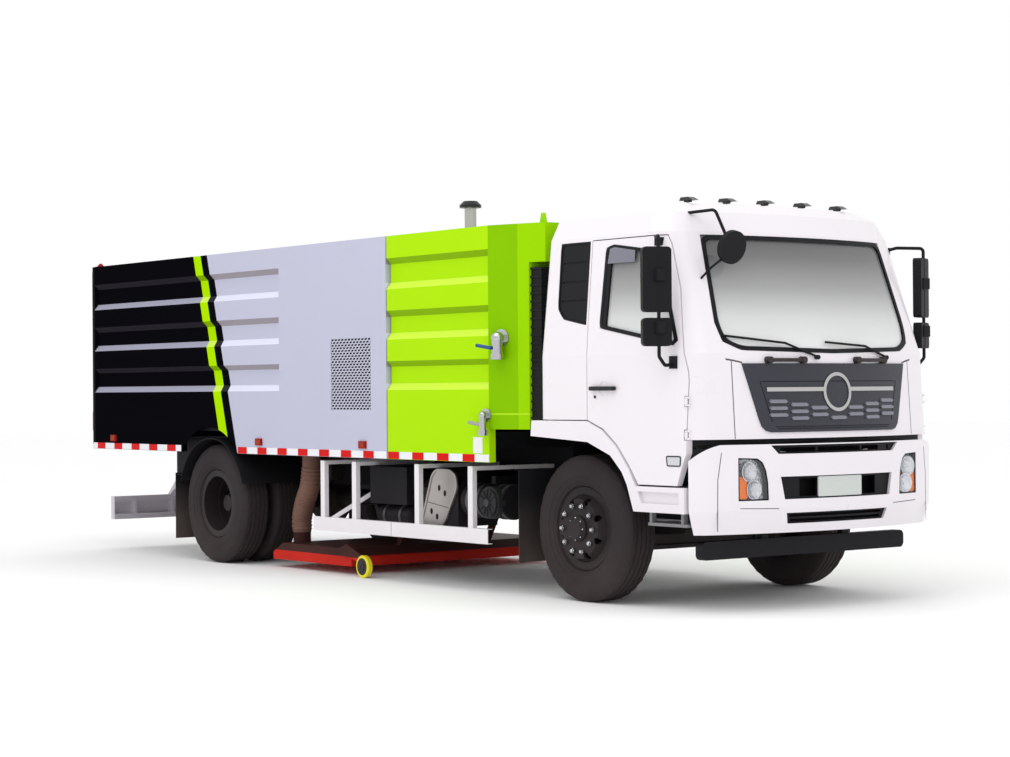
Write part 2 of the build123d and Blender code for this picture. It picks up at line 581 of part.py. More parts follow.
def rear_frame():
    """Portal round the tail door, with the lugs and pins the door hangs on."""
    x = (at(REAR_FRAME_AT), at(TANK_REAR_AT))
    frame = block(x, (-HALF_BODY, HALF_BODY), (BODY_BOTTOM, BODY_TOP))
    frame = frame - block((x[0] - 1, x[1] + 1), (-HALF_BODY + 110, HALF_BODY - 110), (FLOOR_TOP, BODY_TOP - 110))
    pieces = [frame]
    pivot_x = x[0] - TAIL_PIVOT_BACK
    for y in TAIL_HINGE_Y:
        for side in (-1, 1):
            lug = (y + side * 50 - 12, y + side * 50 + 12)
            pieces.append(block((pivot_x - 18, x[0] + 5), lug, (TAIL_PIVOT_Z - 18, TAIL_PIVOT_Z + 18)))
        pieces.append(across(pivot_x, TAIL_PIVOT_Z, (y - 50, y + 50), TAIL_PIN_RADIUS))
    return fuse(*pieces)


def tail_door():
    """Flat door over the whole rear, with ribs, hung on two hinges at its top edge."""
    x_in = at(REAR_FRAME_AT) - DOOR_GAP
    x_out = x_in - TAIL_DOOR_THICK
    half = HALF_BODY - 25
    z = (BODY_BOTTOM + 40, TAIL_PIVOT_Z - 28)
    door = block((x_out, x_in), (-half, half), z)
    pocket_depth = TAIL_DOOR_THICK - 14
    columns = [(-half + 70, -40), (40, half - 70)]
    rows = [(z[0] + 70, 1500), (1580, 2050), (2130, z[1] - 70)]
    for y in columns:
        for row in rows:
            door = door - block((x_out - 1, x_out + pocket_depth), y, row)
    pivot_x = at(REAR_FRAME_AT) - TAIL_PIVOT_BACK
    for y in TAIL_HINGE_Y:
        barrel = across(pivot_x, TAIL_PIVOT_Z, (y - 32, y + 32), 20)
        strap = block((pivot_x - 20, pivot_x - 4), (y - 32, y + 32), (z[1] - 120, TAIL_PIVOT_Z))
        door = fuse(door, barrel, strap) - across(pivot_x, TAIL_PIVOT_Z, (y - 40, y + 40), TAIL_PIN_RADIUS + FIT)
    return door


# ---------------------------------------------------------------- lamps on the body
MARKERS_AT = [-6857.0, -4187.0, -2585.0]


def body_lamps():
    """Side marker lamps, tail lamps and the two high red lamps, all on the tank."""
    lamps = []
    for place in MARKERS_AT:
        lamps += both(block((at(place) - 50, at(place) + 50), (-HALF_BODY - 16, -HALF_BODY), (1055, 1115)))
    return lamps


def tail_lamps():
    x = at(REAR_FRAME_AT)
    return both(block((x - 18, x), (-HALF_BODY + 2, -HALF_BODY + 22), (1150, 1330)))


# ---------------------------------------------------------------- under the body
GUARD_Y = 1220.0
GUARD_AT = (-3379.0, -975.0)
GUARD_SEAM_AT = -2243.0
GUARD_SEAM = 8.0
GUARD_Z = (367.0, 480.0)
GUARD_ARM_Z = (912.0, 944.0)
GUARD_POSTS_AT = [-3242.0, -2774.0, -1893.0, -1194.0]
MUDGUARD_RADIUS = 575.0


def side_guards():
    """Two lengths of rail along each side, each on two posts whose arms reach the frame rail."""
    guards = []
    for start, end in ((GUARD_AT[0], GUARD_SEAM_AT - GUARD_SEAM / 2), (GUARD_SEAM_AT + GUARD_SEAM / 2, GUARD_AT[1])):
        pieces = [channel(-GUARD_Y, -GUARD_Y + 45, GUARD_Z, 5, (at(start), at(end)))]
        for place in GUARD_POSTS_AT:
            if start < place < end:
                x = (at(place) - 30, at(place) + 30)
                pieces.append(block(x, (-GUARD_Y + 4, -GUARD_Y + 44), (GUARD_Z[0] + 6, GUARD_ARM_Z[1])))
                pieces.append(block(x, (-GUARD_Y + 4, -RAIL_OUT), GUARD_ARM_Z))
        guards += both(fuse(*pieces))
    return guards


def mudguards():
    """Half rings over the rear twins with a flap behind, and a flap behind each front wheel."""
    y = (-HALF_BODY - 15, -REAR_TRACK / 2 + TWIN_SPACING / 2 + TYRE_WIDTH / 2 + 15)
    plane = Plane(origin=(REAR_AXLE_X, y[1], AXLE_Z), x_dir=(1, 0, 0), z_dir=(0, -1, 0))
    ring = plane * (Circle(MUDGUARD_RADIUS + 8) - Circle(MUDGUARD_RADIUS))
    guard = extrude(ring, y[1] - y[0])
    guard = guard & block((REAR_AXLE_X - 700, REAR_AXLE_X + 700), (y[0] - 1, y[1] + 1), (AXLE_Z + 190, AXLE_Z + 700))
    flap = block((REAR_AXLE_X - 640, REAR_AXLE_X - 632), y, (190, AXLE_Z + 260))
    top = block((REAR_AXLE_X - 640, REAR_AXLE_X - 520), y, (AXLE_Z + 240, AXLE_Z + 248))
    arm = across(REAR_AXLE_X - 560, AXLE_Z + 252, (y[1] - 5, -RAIL_OUT), 16)
    rear = fuse(guard, flap, top, arm)
    flap_x = FRONT_AXLE_X - 640
    front = block((flap_x - 8, flap_x), (-1180, -700), (250, 930))
    carrier = block((flap_x - 30, flap_x - 8), (-1000, -RAIL_OUT), (860, 920))
    return both(rear) + both(fuse(front, carrier))


FRONT_BAR_AT = 1095.0
FRONT_BAR_HALF = 990.0
FRONT_BAR_Z = (352.0, 476.0)
FRONT_BAR_ROUND = 38.0
REAR_BEAM_HALF = 1032.0
REAR_BEAM_Z = (280.0, 504.0)
REAR_BEAM_LIP = 52.0
REAR_BEAM_SHEET = 9.0
REAR_BEAM_RIBS_Y = [-800.0, -395.0, 395.0, 800.0]
BEAM_ARM_Y = (365.0, 425.0)


def underrun_beams():
    """Front bar under the bumper and lipped rear beam behind the body, each on two drop brackets."""
    arm_y = (BEAM_ARM_Y, (-BEAM_ARM_Y[1], -BEAM_ARM_Y[0]))
    front_x = at(FRONT_BAR_AT)
    front = block((front_x - 35, front_x + 35), (-FRONT_BAR_HALF, FRONT_BAR_HALF), FRONT_BAR_Z)
    front = fillet(front.edges().filter_by(Axis.X), FRONT_BAR_ROUND)
    front_arms = [block((front_x - 25, front_x + 25), y, (FRONT_BAR_Z[1] - 6, RAIL_BOTTOM)) for y in arm_y]
    rear_x = at(REAR_FRAME_AT) - 20
    x = (rear_x - 45, rear_x + 25)
    rear = block(x, (-REAR_BEAM_HALF, REAR_BEAM_HALF), REAR_BEAM_Z)
    inner = REAR_BEAM_HALF - REAR_BEAM_SHEET
    pocket_z = (REAR_BEAM_Z[0] + REAR_BEAM_LIP, REAR_BEAM_Z[1] - REAR_BEAM_LIP)
    rear = rear - block((x[0] + REAR_BEAM_SHEET, x[1] + 1), (-inner, inner), pocket_z)
    ribs = [block((x[0] + 2, x[1]), (y - 15, y + 15), (pocket_z[0] - 2, pocket_z[1] + 2)) for y in REAR_BEAM_RIBS_Y]
    arm_foot = REAR_BEAM_Z[1] - 10
    rear_arms = [side_prism([(rear_x - 20, arm_foot), (rear_x + 20, arm_foot), (at(RAIL_REAR_AT) + 160, RAIL_BOTTOM),
                             (at(RAIL_REAR_AT) + 20, RAIL_BOTTOM)], y) for y in arm_y]
    return [fuse(front, *front_arms), fuse(rear, *ribs, *rear_arms)]


def battery_box():
    box = block((at(-2800), at(-2280)), (-1040, -600), (604, 904))
    cylinder = rod((at(-2760), -800, 545), (at(-2320), -800, 545), 58)
    hanger = block((at(-2620), at(-2560)), (-800, -780), (590, 610))
    bracket = [block((at(x) - 20, at(x) + 20), (-610, -RAIL_OUT), (760, 900)) for x in (-2700, -2380)]
    return fuse(box, cylinder, hanger, *bracket)


def side_cover():
    outline = [(-1020, 460), (-640, 460), (-640, 890), (-760, 905), (-900, 870), (-1020, 750)]
    cover = front_prism(outline, (at(-2103), at(-1616)))
    for place in (-1985, -1735):
        for z in (560, 680):
            cover = cover - rod((at(place), -1021, z), (at(place), -1000, z), 14)
    bracket = [block((at(x) - 20, at(x) + 20), (-645, -RAIL_OUT), (760, 880)) for x in (-2020, -1700)]
    return fuse(cover, *bracket)


def tanks():
    """Fuel tank on the left and two air reservoirs on the right."""
    tank = fillet(block((at(-2850), at(-1700)), (540, 1080), (440, 900)).edges().filter_by(Axis.X), 90)
    straps = [block((at(x) - 25, at(x) + 25), (RAIL_OUT, 545), (720, 860)) for x in (-2600, -1950)]
    reservoirs = []
    for y in (-640, -930):
        reservoirs.append(rod((at(-1530), y, 669), (at(-1000), y, 669), 130))
    cradle = block((at(-1290), at(-1240)), (-940, -RAIL_OUT), (770, 860))
    return [fuse(tank, *straps), fuse(*reservoirs, cradle)]


# ---------------------------------------------------------------- suction gear
NOZZLE_AT = (-4280.0, -3056.0)
NOZZLE_HALF = 1060.0
NOZZLE_Z = (70.0, 215.0)
HOSE_RADIUS = 80.0
CASTER_AT = -2761.0
CASTER_Y = 1130.0
CASTER_RADIUS = 92.0


def suction_nozzle():
    """Wide flat suction box with an open mouth below, its hose necks, skids and hanging links."""
    x = (at(NOZZLE_AT[0]), at(NOZZLE_AT[1]))
    half, z = NOZZLE_HALF, NOZZLE_Z
    shell = side_prism([(x[0], z[0]), (x[1], z[0]), (x[1], z[0] + 70), (x[1] - 90, z[1]), (x[0] + 160, z[1]),
                        (x[0], z[0] + 60)], (-half, half))
    mouth = block((x[0] + 60, x[1] - 60), (-half + 12, half - 12), (z[0] - 1, z[0] + 55))
    pieces = [shell - mouth]
    for side in (-1, 1):
        neck = rod((at(HOSE_FOOT[0]), side * HOSE_FOOT[1], z[1] - 5), (at(HOSE_FOOT[0]), side * HOSE_FOOT[1], HOSE_FOOT[2]),
                   HOSE_RADIUS - 4)
        pieces.append(neck)
        arm_y = sorted((side * (RAIL_OUT + 10), side * (RAIL_OUT + 50)))
        link = side_prism([(at(-3250), z[1] - 5), (at(-3190), z[1] - 5), (at(-2890), RAIL_BOTTOM), (at(-2960), RAIL_BOTTOM)], arm_y)
        foot = block((at(-2980), at(-2880)), sorted((side * (RAIL_OUT - 60), side * (RAIL_OUT + 50))),
                     (RAIL_BOTTOM - 30, RAIL_BOTTOM))
        pieces += [link, foot]
        fork_y = sorted((side * (CASTER_Y - 60), side * (CASTER_Y - 40)))
        pieces.append(side_prism([(x[1] - 120, z[1] - 60), (x[1] - 5, z[1] - 60), (at(CASTER_AT) + 30, CASTER_RADIUS - 26),
                                  (at(CASTER_AT) + 30, CASTER_RADIUS + 30), (x[1] - 20, z[1] + 40),
                                  (x[1] - 120, z[1] + 10)], fork_y))
        pieces.append(block((x[1] - 120, x[1] - 30), sorted((side * (half - 40), side * (CASTER_Y - 40))),
                            (z[1] - 60, z[1] - 10)))
        pieces.append(across(at(CASTER_AT), CASTER_RADIUS, sorted((side * (CASTER_Y - 50), side * (CASTER_Y + 22))), 12))
    return fuse(*pieces)


def nozzle_wheel():
    centre = (at(CASTER_AT), -CASTER_Y, CASTER_RADIUS)
    profile = [(12 + FIT, -24), (CASTER_RADIUS - 8, -24), (CASTER_RADIUS, -16), (CASTER_RADIUS, 16),
               (CASTER_RADIUS - 8, 24), (34, 24), (30, 30), (12 + FIT, 30)]
    return turned(profile, centre)


#            places: (from front axle, distance from the centre plane, Z)
HOSE_FOOT = (-4130.0, 860.0, 300.0)
HOSE_PATH = [HOSE_FOOT, (-4130.0, 860.0, 420.0), (-4050.0, 880.0, 560.0), (-3930.0, 905.0, 700.0),
             (-3900.0, 905.0, 850.0), (-3900.0, 905.0, 990.0)]
HOSE_TOP = FLOOR_BOTTOM - 60.0 - RUN


def suction_hoses():
    """Corrugated suction hoses from the nozzle necks up to the tank's inlets."""
    points = [(at(x), -y, z) for x, y, z in HOSE_PATH]
    hose = pipe(points, 60, HOSE_RADIUS)
    x, y, z = points[-1]
    collar = rod((x, y, z - 30), (x, y, HOSE_TOP), HOSE_RADIUS + 10)
    bracket = block((x - 25, x + 25), (y, -RAIL_OUT), (890, 930))
    return both(fuse(hose, collar, bracket))


# ---------------------------------------------------------------- stack, valves, intake
#          along,  height, reach, radius, drop
VALVES = [(-790.0, 1900.0, 62.0, 46.0, 160.0),
          (-930.0, 1330.0, 48.0, 30.0, 150.0)]
COUPLING_LENGTH = 40.0
COUPLING_LIP = 5.0


STACK_AT = -1590.0
STACK_Y = -900.0
STACK_RISE = 244.0
STACK_RADIUS = 46.0
STACK_CAP_RADIUS = 85.0
STACK_CAP_HEIGHT = 51.0
STACK_FOOT_RADIUS = 75.0


def exhaust_stack():
    """Pipe through the bay's roof with a foot flange and a mushroom cap."""
    x, y, top = at(STACK_AT), STACK_Y, BODY_TOP + STACK_RISE
    pipe_up = rod((x, y, BODY_TOP), (x, y, top - STACK_CAP_HEIGHT + 20), STACK_RADIUS)
    cap = rod((x, y, top - STACK_CAP_HEIGHT), (x, y, top), STACK_CAP_RADIUS)
    cap = chamfer(cap.edges().group_by(Axis.Z)[-1], 30)
    base = rod((x, y, BODY_TOP), (x, y, BODY_TOP + 22), STACK_FOOT_RADIUS)
    return fuse(pipe_up, cap, base)


def outlet_valves():
    """Drain elbow and wash-down elbow on the slanted hopper wall, each with a hose collar."""
    run_x, run_y = HOPPER_FRONT_AT - BAY_FRONT_AT, HALF_BODY - HOPPER_HALF
    outward = Vector(run_y, -run_x, 0).normalized()
    valves = []
    for place, z, reach, bore, drop in VALVES:
        foot = Vector(at(place), -HALF_BODY + (place - BAY_FRONT_AT) * run_y / run_x, z)
        end = foot + outward * reach
        flange = rod(foot, foot + outward * 12, bore + 18)
        low = end - Vector(0, 0, drop)
        collar = rod(low, low + Vector(0, 0, COUPLING_LENGTH), bore + COUPLING_LIP)
        valves.append(fuse(flange, rod(foot, end, bore), Pos(*end) * Sphere(bore), rod(end, low, bore - 3), collar))
    return valves


INTAKE_DEPTH = 130.0
INTAKE_Y = (-1125.0, -960.0)
INTAKE_Z = (1240.0, 2411.0)
INTAKE_RIBS = 20
INTAKE_RIB_DEPTH = 10.0
INTAKE_RIB_WIDTH = 16.0


def air_intake():
    """Ribbed black duct standing behind the cab on the right, with its mouth at the top."""
    x = (at(HOPPER_FRONT_AT) + FIT, at(HOPPER_FRONT_AT) + INTAKE_DEPTH)
    duct = block((x[0], x[1] - INTAKE_RIB_DEPTH), (INTAKE_Y[0] + INTAKE_RIB_DEPTH, INTAKE_Y[1] - INTAKE_RIB_DEPTH), INTAKE_Z)
    pitch = (INTAKE_Z[1] - INTAKE_Z[0] - INTAKE_RIB_WIDTH) / (INTAKE_RIBS - 1)
    foot = [INTAKE_Z[0] + pitch * index for index in range(INTAKE_RIBS)]
    return fuse(duct, *[block(x, INTAKE_Y, (z, z + INTAKE_RIB_WIDTH)) for z in foot])


# ---------------------------------------------------------------- bumper
BUMPER_FRONT_AT = FRONT_OVERHANG
BUMPER_HALF = 1192.0
BUMPER_SHEET = 22.0
BUMPER_Z = (533.0, 1136.0)
BUMPER_SIDE_TOP = 1030.0
BUMPER_REAR_AT = 1195.0
BUMPER_FORM_BACK_AT = 700.0
BUMPER_ARM_Y = (290.0, 350.0)
FRONT_ARC = 3400.0
FRONT_CORNER = 220.0


def plan_section(front, half, back, z, corner, back_corner=0.0):
    """Rounded plan outline: arched front, straight sides and back, at height z."""
    drop = FRONT_ARC - sqrt(FRONT_ARC ** 2 - half ** 2)
    points = [(front - drop, -half), (front, 0), (front - drop, half)]
    lines = [ThreePointArc(*points), Line((front - drop, half), (back, half)), Line((back, half), (back, -half)),
             Line((back, -half), (front - drop, -half))]
    face = make_face(lines)
    nose = [v for v in face.vertices() if v.X > back + 1]
    face = fillet(nose, corner)
    if back_corner:
        face = fillet([v for v in face.vertices() if v.X < back + 1], back_corner)
    return Pos(0, 0, z) * face


def bumper_solid(inset):
    """Bumper form, tucked in a little toward the bottom."""
    front, half = at(BUMPER_FRONT_AT) - inset, BUMPER_HALF - inset
    back = at(BUMPER_FORM_BACK_AT) - 2 * inset
    low = plan_section(front - 45, half - 20, back, BUMPER_Z[0] - inset, FRONT_CORNER)
    middle = plan_section(front, half, back, BUMPER_Z[0] + 160, FRONT_CORNER)
    top = plan_section(front, half, back, BUMPER_Z[1] + inset, FRONT_CORNER)
    return loft([low, middle, top], ruled=True)


HEADLAMP_YZ = [(-640.0, 758.0), (-645.0, 880.0), (-660.0, 960.0), (-686.0, 1015.0), (-726.0, 1042.0), (-872.0, 1048.0),
               (-872.0, 758.0)]
CENTRE_OPENING = [(-512.0, 761.0), (512.0, 761.0), (544.0, 915.0), (-544.0, 915.0)]
LOWER_SLOT = [(-470.0, 594.0), (470.0, 594.0), (492.0, 668.0), (-492.0, 668.0)]
TOP_VENT = [(-560.0, 1069.0), (560.0, 1069.0), (621.0, 1128.0), (-621.0, 1128.0)]
#                windows through each insert, as (Y, Z) pairs of (low, high)
CENTRE_WINDOWS = [((-372.0, -214.0), (776.0, 900.0)), ((214.0, 372.0), (776.0, 900.0))]
LOWER_WINDOWS = [((-440.0, 440.0), (606.0, 625.0)), ((-448.0, 448.0), (638.0, 657.0))]
TOP_WINDOWS = [((-528.0, -226.0), (1080.0, 1112.0)), ((-206.0, 206.0), (1080.0, 1112.0)), ((226.0, 528.0), (1080.0, 1112.0))]


def mirrored_outline(outline):
    return [(-y, z) for y, z in reversed(outline)]


def front_bumper():
    shell = bumper_solid(0) - bumper_solid(BUMPER_SHEET)
    shell = shell - block((at(0), at(BUMPER_REAR_AT)), (-2000, 2000), (0, 2000))
    reach = (at(1000), at(1600))
    for outline in (HEADLAMP_YZ, mirrored_outline(HEADLAMP_YZ), CENTRE_OPENING, LOWER_SLOT, TOP_VENT):
        shell = shell - front_prism(outline, reach)
    slope = side_prism([(at(BUMPER_REAR_AT) - 5, BUMPER_SIDE_TOP), (at(BUMPER_REAR_AT), BUMPER_SIDE_TOP),
                        (at(1330), BUMPER_Z[1] + 5), (at(BUMPER_REAR_AT) - 5, BUMPER_Z[1] + 5)], (-2000, 2000))
    shell = shell - slope
    arms = []
    inner_x = at(BUMPER_FRONT_AT) - BUMPER_SHEET
    for side in (-1, 1):
        y = sorted((side * BUMPER_ARM_Y[0], side * BUMPER_ARM_Y[1]))
        arms.append(block((at(RAIL_FRONT_AT), inner_x - 25), y, (940, 985)))
        arms.append(block((inner_x - 45, inner_x - 14), y, (935, 1055)))
        arms.append(block((at(RAIL_FRONT_AT), at(RAIL_FRONT_AT) + 18), sorted((side * BUMPER_ARM_Y[0], side * RAIL_OUT)),
                          (RAIL_BOTTOM + 10, 985)))
    return fuse(shell, *arms)


def bumper_inserts():
    """Dark grilles in the upper vent, the centre opening and the lower slot, one piece each."""
    skin = bumper_solid(BUMPER_SHEET) - bumper_solid(BUMPER_SHEET + 14)
    reach = (at(1000), at(1600))
    pieces = []
    for outline, grow, windows in ((CENTRE_OPENING, 12, CENTRE_WINDOWS), (LOWER_SLOT, 12, LOWER_WINDOWS),
                                   (TOP_VENT, 4, TOP_WINDOWS)):
        low, high = min(z for y, z in outline) - grow, max(z for y, z in outline) + grow
        half = max(y for y, z in outline) + grow
        insert = skin & block(reach, (-half, half), (low, min(high, BUMPER_Z[1] - 1)))
        for y, z in windows:
            insert = insert - block(reach, y, z)
        pieces.append(insert)
    return pieces


def headlamps():
    skin = bumper_solid(4) - bumper_solid(BUMPER_SHEET + 60)
    lamp = skin & front_prism([(y, z) for y, z in HEADLAMP_YZ], (at(1150), at(1600)))
    return both(lamp)


# ---------------------------------------------------------------- cab skin
CAB_WALL = 45.0
CAB_FRONT_AT = 1410.0
CAB_BACK_AT = -385.0
CAB_FOOT_Z = 860.0
CAB_FRONT_FOOT_Z = 1172.0
CAB_LOW_FRONT_AT = 1180.0
BELT_Z = 1754.0
SEAM_Z = 2590.0
ROOF_RISE = 240.0
CAB_TOP_Z = SEAM_Z + ROOF_RISE
CAB_FLOOR_Z = (1190.0, 1230.0)
CAB_FLOOR_FRONT_AT = 1270.0
TILT_PIVOT_AT = 1390.0
TILT_PIVOT_Z = 1000.0
TILT_PIN_RADIUS = 20.0
TILT_LUG_Y = (380.0, 430.0)
#              bent back so that the tilted lug stays behind the bumper; (X, Z) from the pivot
TILT_LUG_XZ = [(-10.0, -24.0), (18.0, 16.0), (-44.0, 50.0), (-106.0, 102.0), (-174.0, 160.0), (-182.0, 191.0),
               (-320.0, 191.0), (-300.0, 165.0)]
#               height, front centre, back, half width; all but the height lose the wall's inset
CAB_SECTIONS = [(CAB_FOOT_Z, 1440.0, CAB_BACK_AT, HALF_CAB),
                (CAB_FRONT_FOOT_Z, 1440.0, CAB_BACK_AT, HALF_CAB),
                (BELT_Z, 1400.0, CAB_BACK_AT, HALF_CAB),
                (SEAM_Z, 1110.0, CAB_BACK_AT + 45.0, HALF_CAB - 55.0)]
ROOF_SECTIONS = [(SEAM_Z, 1110.0, CAB_BACK_AT + 45.0, HALF_CAB - 55.0),
                 (CAB_TOP_Z - 100, 1030.0, CAB_BACK_AT + 80.0, HALF_CAB - 105.0),
                 (CAB_TOP_Z - 30, 900.0, CAB_BACK_AT + 230.0, HALF_CAB - 220.0),
                 (CAB_TOP_Z, 640.0, CAB_BACK_AT + 420.0, HALF_CAB - 480.0)]


def cab_form(sections, inset, lower=0.0, raise_top=0.0):
    faces = []
    last = len(sections) - 1
    for index, (z, front, back, half) in enumerate(sections):
        shift = -lower if index == 0 else (raise_top if index == last else 0.0)
        corner = FRONT_CORNER - inset * 0.6
        faces.append(plan_section(at(front) - inset, half - inset, at(back) + inset, z + shift, corner, 60))
    return loft(faces, ruled=True)


WINDSCREEN_YZ = [(-905.0, 1830.0), (-780.0, 1772.0), (0.0, 1752.0), (780.0, 1772.0), (905.0, 1830.0),
                 (930.0, 1960.0), (876.0, SEAM_Z - 22), (-876.0, SEAM_Z - 22), (-930.0, 1960.0)]
FRONT_PANEL_HALF = 862.0
DOOR_XZ = [(175.0, SEAM_Z - 30), (905.0, SEAM_Z - 30), (936.0, SEAM_Z - 90), (1040.0, 2190.0), (1165.0, 1640.0), (1172.0, 1573.0),
           (1165.0, 1080.0), (1095.0, 862.0), (700.0, 862.0), (610.0, 985.0), (480.0, 1130.0), (330.0, 1240.0),
           (160.0, 1300.0), (160.0, 1960.0)]
SIDE_WINDOW_XZ = [(325.0, SEAM_Z - 85), (405.0, SEAM_Z - 65), (862.0, SEAM_Z - 128), (905.0, SEAM_Z - 200), (1092.0, 1840.0),
                  (1060.0, 1806.0), (284.0, 1943.0)]
LOUVRE_XZ = [(-180.0, SEAM_Z - 30), (150.0, SEAM_Z - 30), (136.0, 1968.0), (-120.0, 2015.0), (-188.0, 2090.0)]
LOUVRE_GROOVES_Z = [2140.0, 2275.0, 2410.0]
LOUVRE_GROOVE_AT = (-150.0, 112.0)
LOUVRE_GROOVE_HEIGHT = 12.0
LOUVRE_GROOVE_DEPTH = 6.0
DOOR_SEAM = 7.0
DOOR_PIVOT_AT = 1165.0
DOOR_PIVOT_Y = 1158.0
DOOR_HINGES_Z = [1205.0, 1430.0]
HINGE_RADIUS = 11.0
HINGE_PIN_RADIUS = 5.0
HINGE_EYE_HALF = 18.0
HINGE_LUG = 12.0
DOOR_SWING_ROOM = 66.0
OUTBOARD = (-1400.0, -760.0)


def side_cut(outline, by=0.0):
    """Right-side cutter over a grown (from front axle, Z) outline."""
    plane = Plane(origin=(0, OUTBOARD[1], 0), x_dir=(1, 0, 0), z_dir=(0, -1, 0))
    face = make_face(Polyline(*[(at(x), z) for x, z in outline], close=True))
    if by:
        face = offset(face, by, kind=Kind.INTERSECTION)
    return extrude(plane * face, OUTBOARD[1] - OUTBOARD[0])


def front_cut(outline, by=0.0):
    plane = Plane(origin=(at(850), 0, 0), x_dir=(0, 1, 0), z_dir=(1, 0, 0))
    face = make_face(Polyline(*outline, close=True))
    if by:
        face = offset(face, by, kind=Kind.INTERSECTION)
    return extrude(plane * face, 900)


def cab_skin():
    return cab_form(CAB_SECTIONS, 0) - cab_form(CAB_SECTIONS, CAB_WALL, lower=5, raise_top=5)


def cab_lower_cut():
    """What the skin loses below the floor: all ahead of the doors, and the wheel arch."""
    ahead = block((at(700), at(1600)), (-1500, 1500), (CAB_FOOT_Z - 10, CAB_FRONT_FOOT_Z))
    behind = block((at(-600), at(701)), (-1500, 1500), (CAB_FOOT_Z - 10, CAB_FLOOR_Z[0]))
    arch = [block((at(-600), at(700)), y, (CAB_FRONT_FOOT_Z - 1, FENDER_SEAM_Z)) for y in ((-1500, -1100), (1100, 1500))]
    return [ahead, behind, *arch]


FENDER_SEAM_Z = 1300.0
FRONT_PANEL_Z = (CAB_FRONT_FOOT_Z, 1745.0)


def door_hinges():
    """Right door's hinges: eyes on the door, pins with lugs on the shell, and the room round each."""
    x, y = at(DOOR_PIVOT_AT), -DOOR_PIVOT_Y
    eyes, pins, eye_room, lug_room = [], [], [], []
    for z in DOOR_HINGES_Z:
        top = HINGE_EYE_HALF + 1 + HINGE_LUG
        eye = rod((x, y, z - HINGE_EYE_HALF), (x, y, z + HINGE_EYE_HALF), HINGE_RADIUS)
        leaf = block((x - 60, x), (y - 5, y + 18), (z - HINGE_EYE_HALF, z + HINGE_EYE_HALF))
        bore = rod((x, y, z - top), (x, y, z + top), HINGE_PIN_RADIUS + FIT)
        eyes.append(fuse(eye, leaf) - bore)
        pin = rod((x, y, z - top), (x, y, z + top), HINGE_PIN_RADIUS)
        lugs = []
        for side in (-1, 1):
            lug_z = sorted((z + side * (HINGE_EYE_HALF + 1), z + side * top))
            lugs.append(rod((x, y, lug_z[0]), (x, y, lug_z[1]), HINGE_RADIUS))
            lugs.append(block((x, x + 34), (y - 3, y + 12), lug_z))
        pins.append(fuse(pin, *lugs))
        eye_room.append(rod((x, y, z - HINGE_EYE_HALF - 1), (x, y, z + HINGE_EYE_HALF + 1), HINGE_RADIUS + RUN))
        lug_room.append(rod((x, y, z - top - RUN), (x, y, z + top + RUN), HINGE_RADIUS + RUN))
    return eyes, pins, eye_room, lug_room


def cab_parts():
    """Shell, front panel, windscreen, doors, door glass and louvre panels, all cut from one skin."""
    skin = cab_skin()
    door_hole = side_cut(DOOR_XZ, DOOR_SEAM)
    door_right = skin & side_cut(DOOR_XZ)
    window = side_cut(SIDE_WINDOW_XZ)
    louvre = side_cut(LOUVRE_XZ)
    front_cutter = front_cut([(-FRONT_PANEL_HALF, FRONT_PANEL_Z[0] - 5), (FRONT_PANEL_HALF, FRONT_PANEL_Z[0] - 5),
                              (FRONT_PANEL_HALF, FRONT_PANEL_Z[1]), (-FRONT_PANEL_HALF, FRONT_PANEL_Z[1])])
    screen = front_cut(WINDSCREEN_YZ)
    shell = skin - door_hole - mirrored(door_hole) - louvre - mirrored(louvre) - screen
    for cutter in cab_lower_cut():
        shell = shell - cutter
    front_panel = shell & front_cutter
    shell = shell - front_cutter
    glass_skin = cab_form(CAB_SECTIONS, 14, 5, 5) - cab_form(CAB_SECTIONS, 20, 6, 6)
    windscreen = glass_skin & screen
    door_glass = glass_skin & window
    louvre_panel = (cab_form(CAB_SECTIONS, 4, 5, 5) - cab_form(CAB_SECTIONS, 34, 6, 6)) & louvre
    groove_skin = cab_form(CAB_SECTIONS, 3, 5, 5) - cab_form(CAB_SECTIONS, 4 + LOUVRE_GROOVE_DEPTH, 6, 6)
    for z in LOUVRE_GROOVES_Z:
        strip = side_cut([(LOUVRE_GROOVE_AT[0], z), (LOUVRE_GROOVE_AT[1], z), (LOUVRE_GROOVE_AT[1], z + LOUVRE_GROOVE_HEIGHT),
                          (LOUVRE_GROOVE_AT[0], z + LOUVRE_GROOVE_HEIGHT)])
        louvre_panel = louvre_panel - (groove_skin & strip)
    eyes, pins, eye_room, lug_room = door_hinges()
    door = door_right - window
    for room in lug_room:
        door = door - room
    for room in both(eye_room):
        shell = shell - room
    return {"skin": fuse(shell, *both(pins)), "front_panel": front_panel, "windscreen": windscreen,
            "door": fuse(door, *eyes), "glass": door_glass, "louvre": louvre_panel}


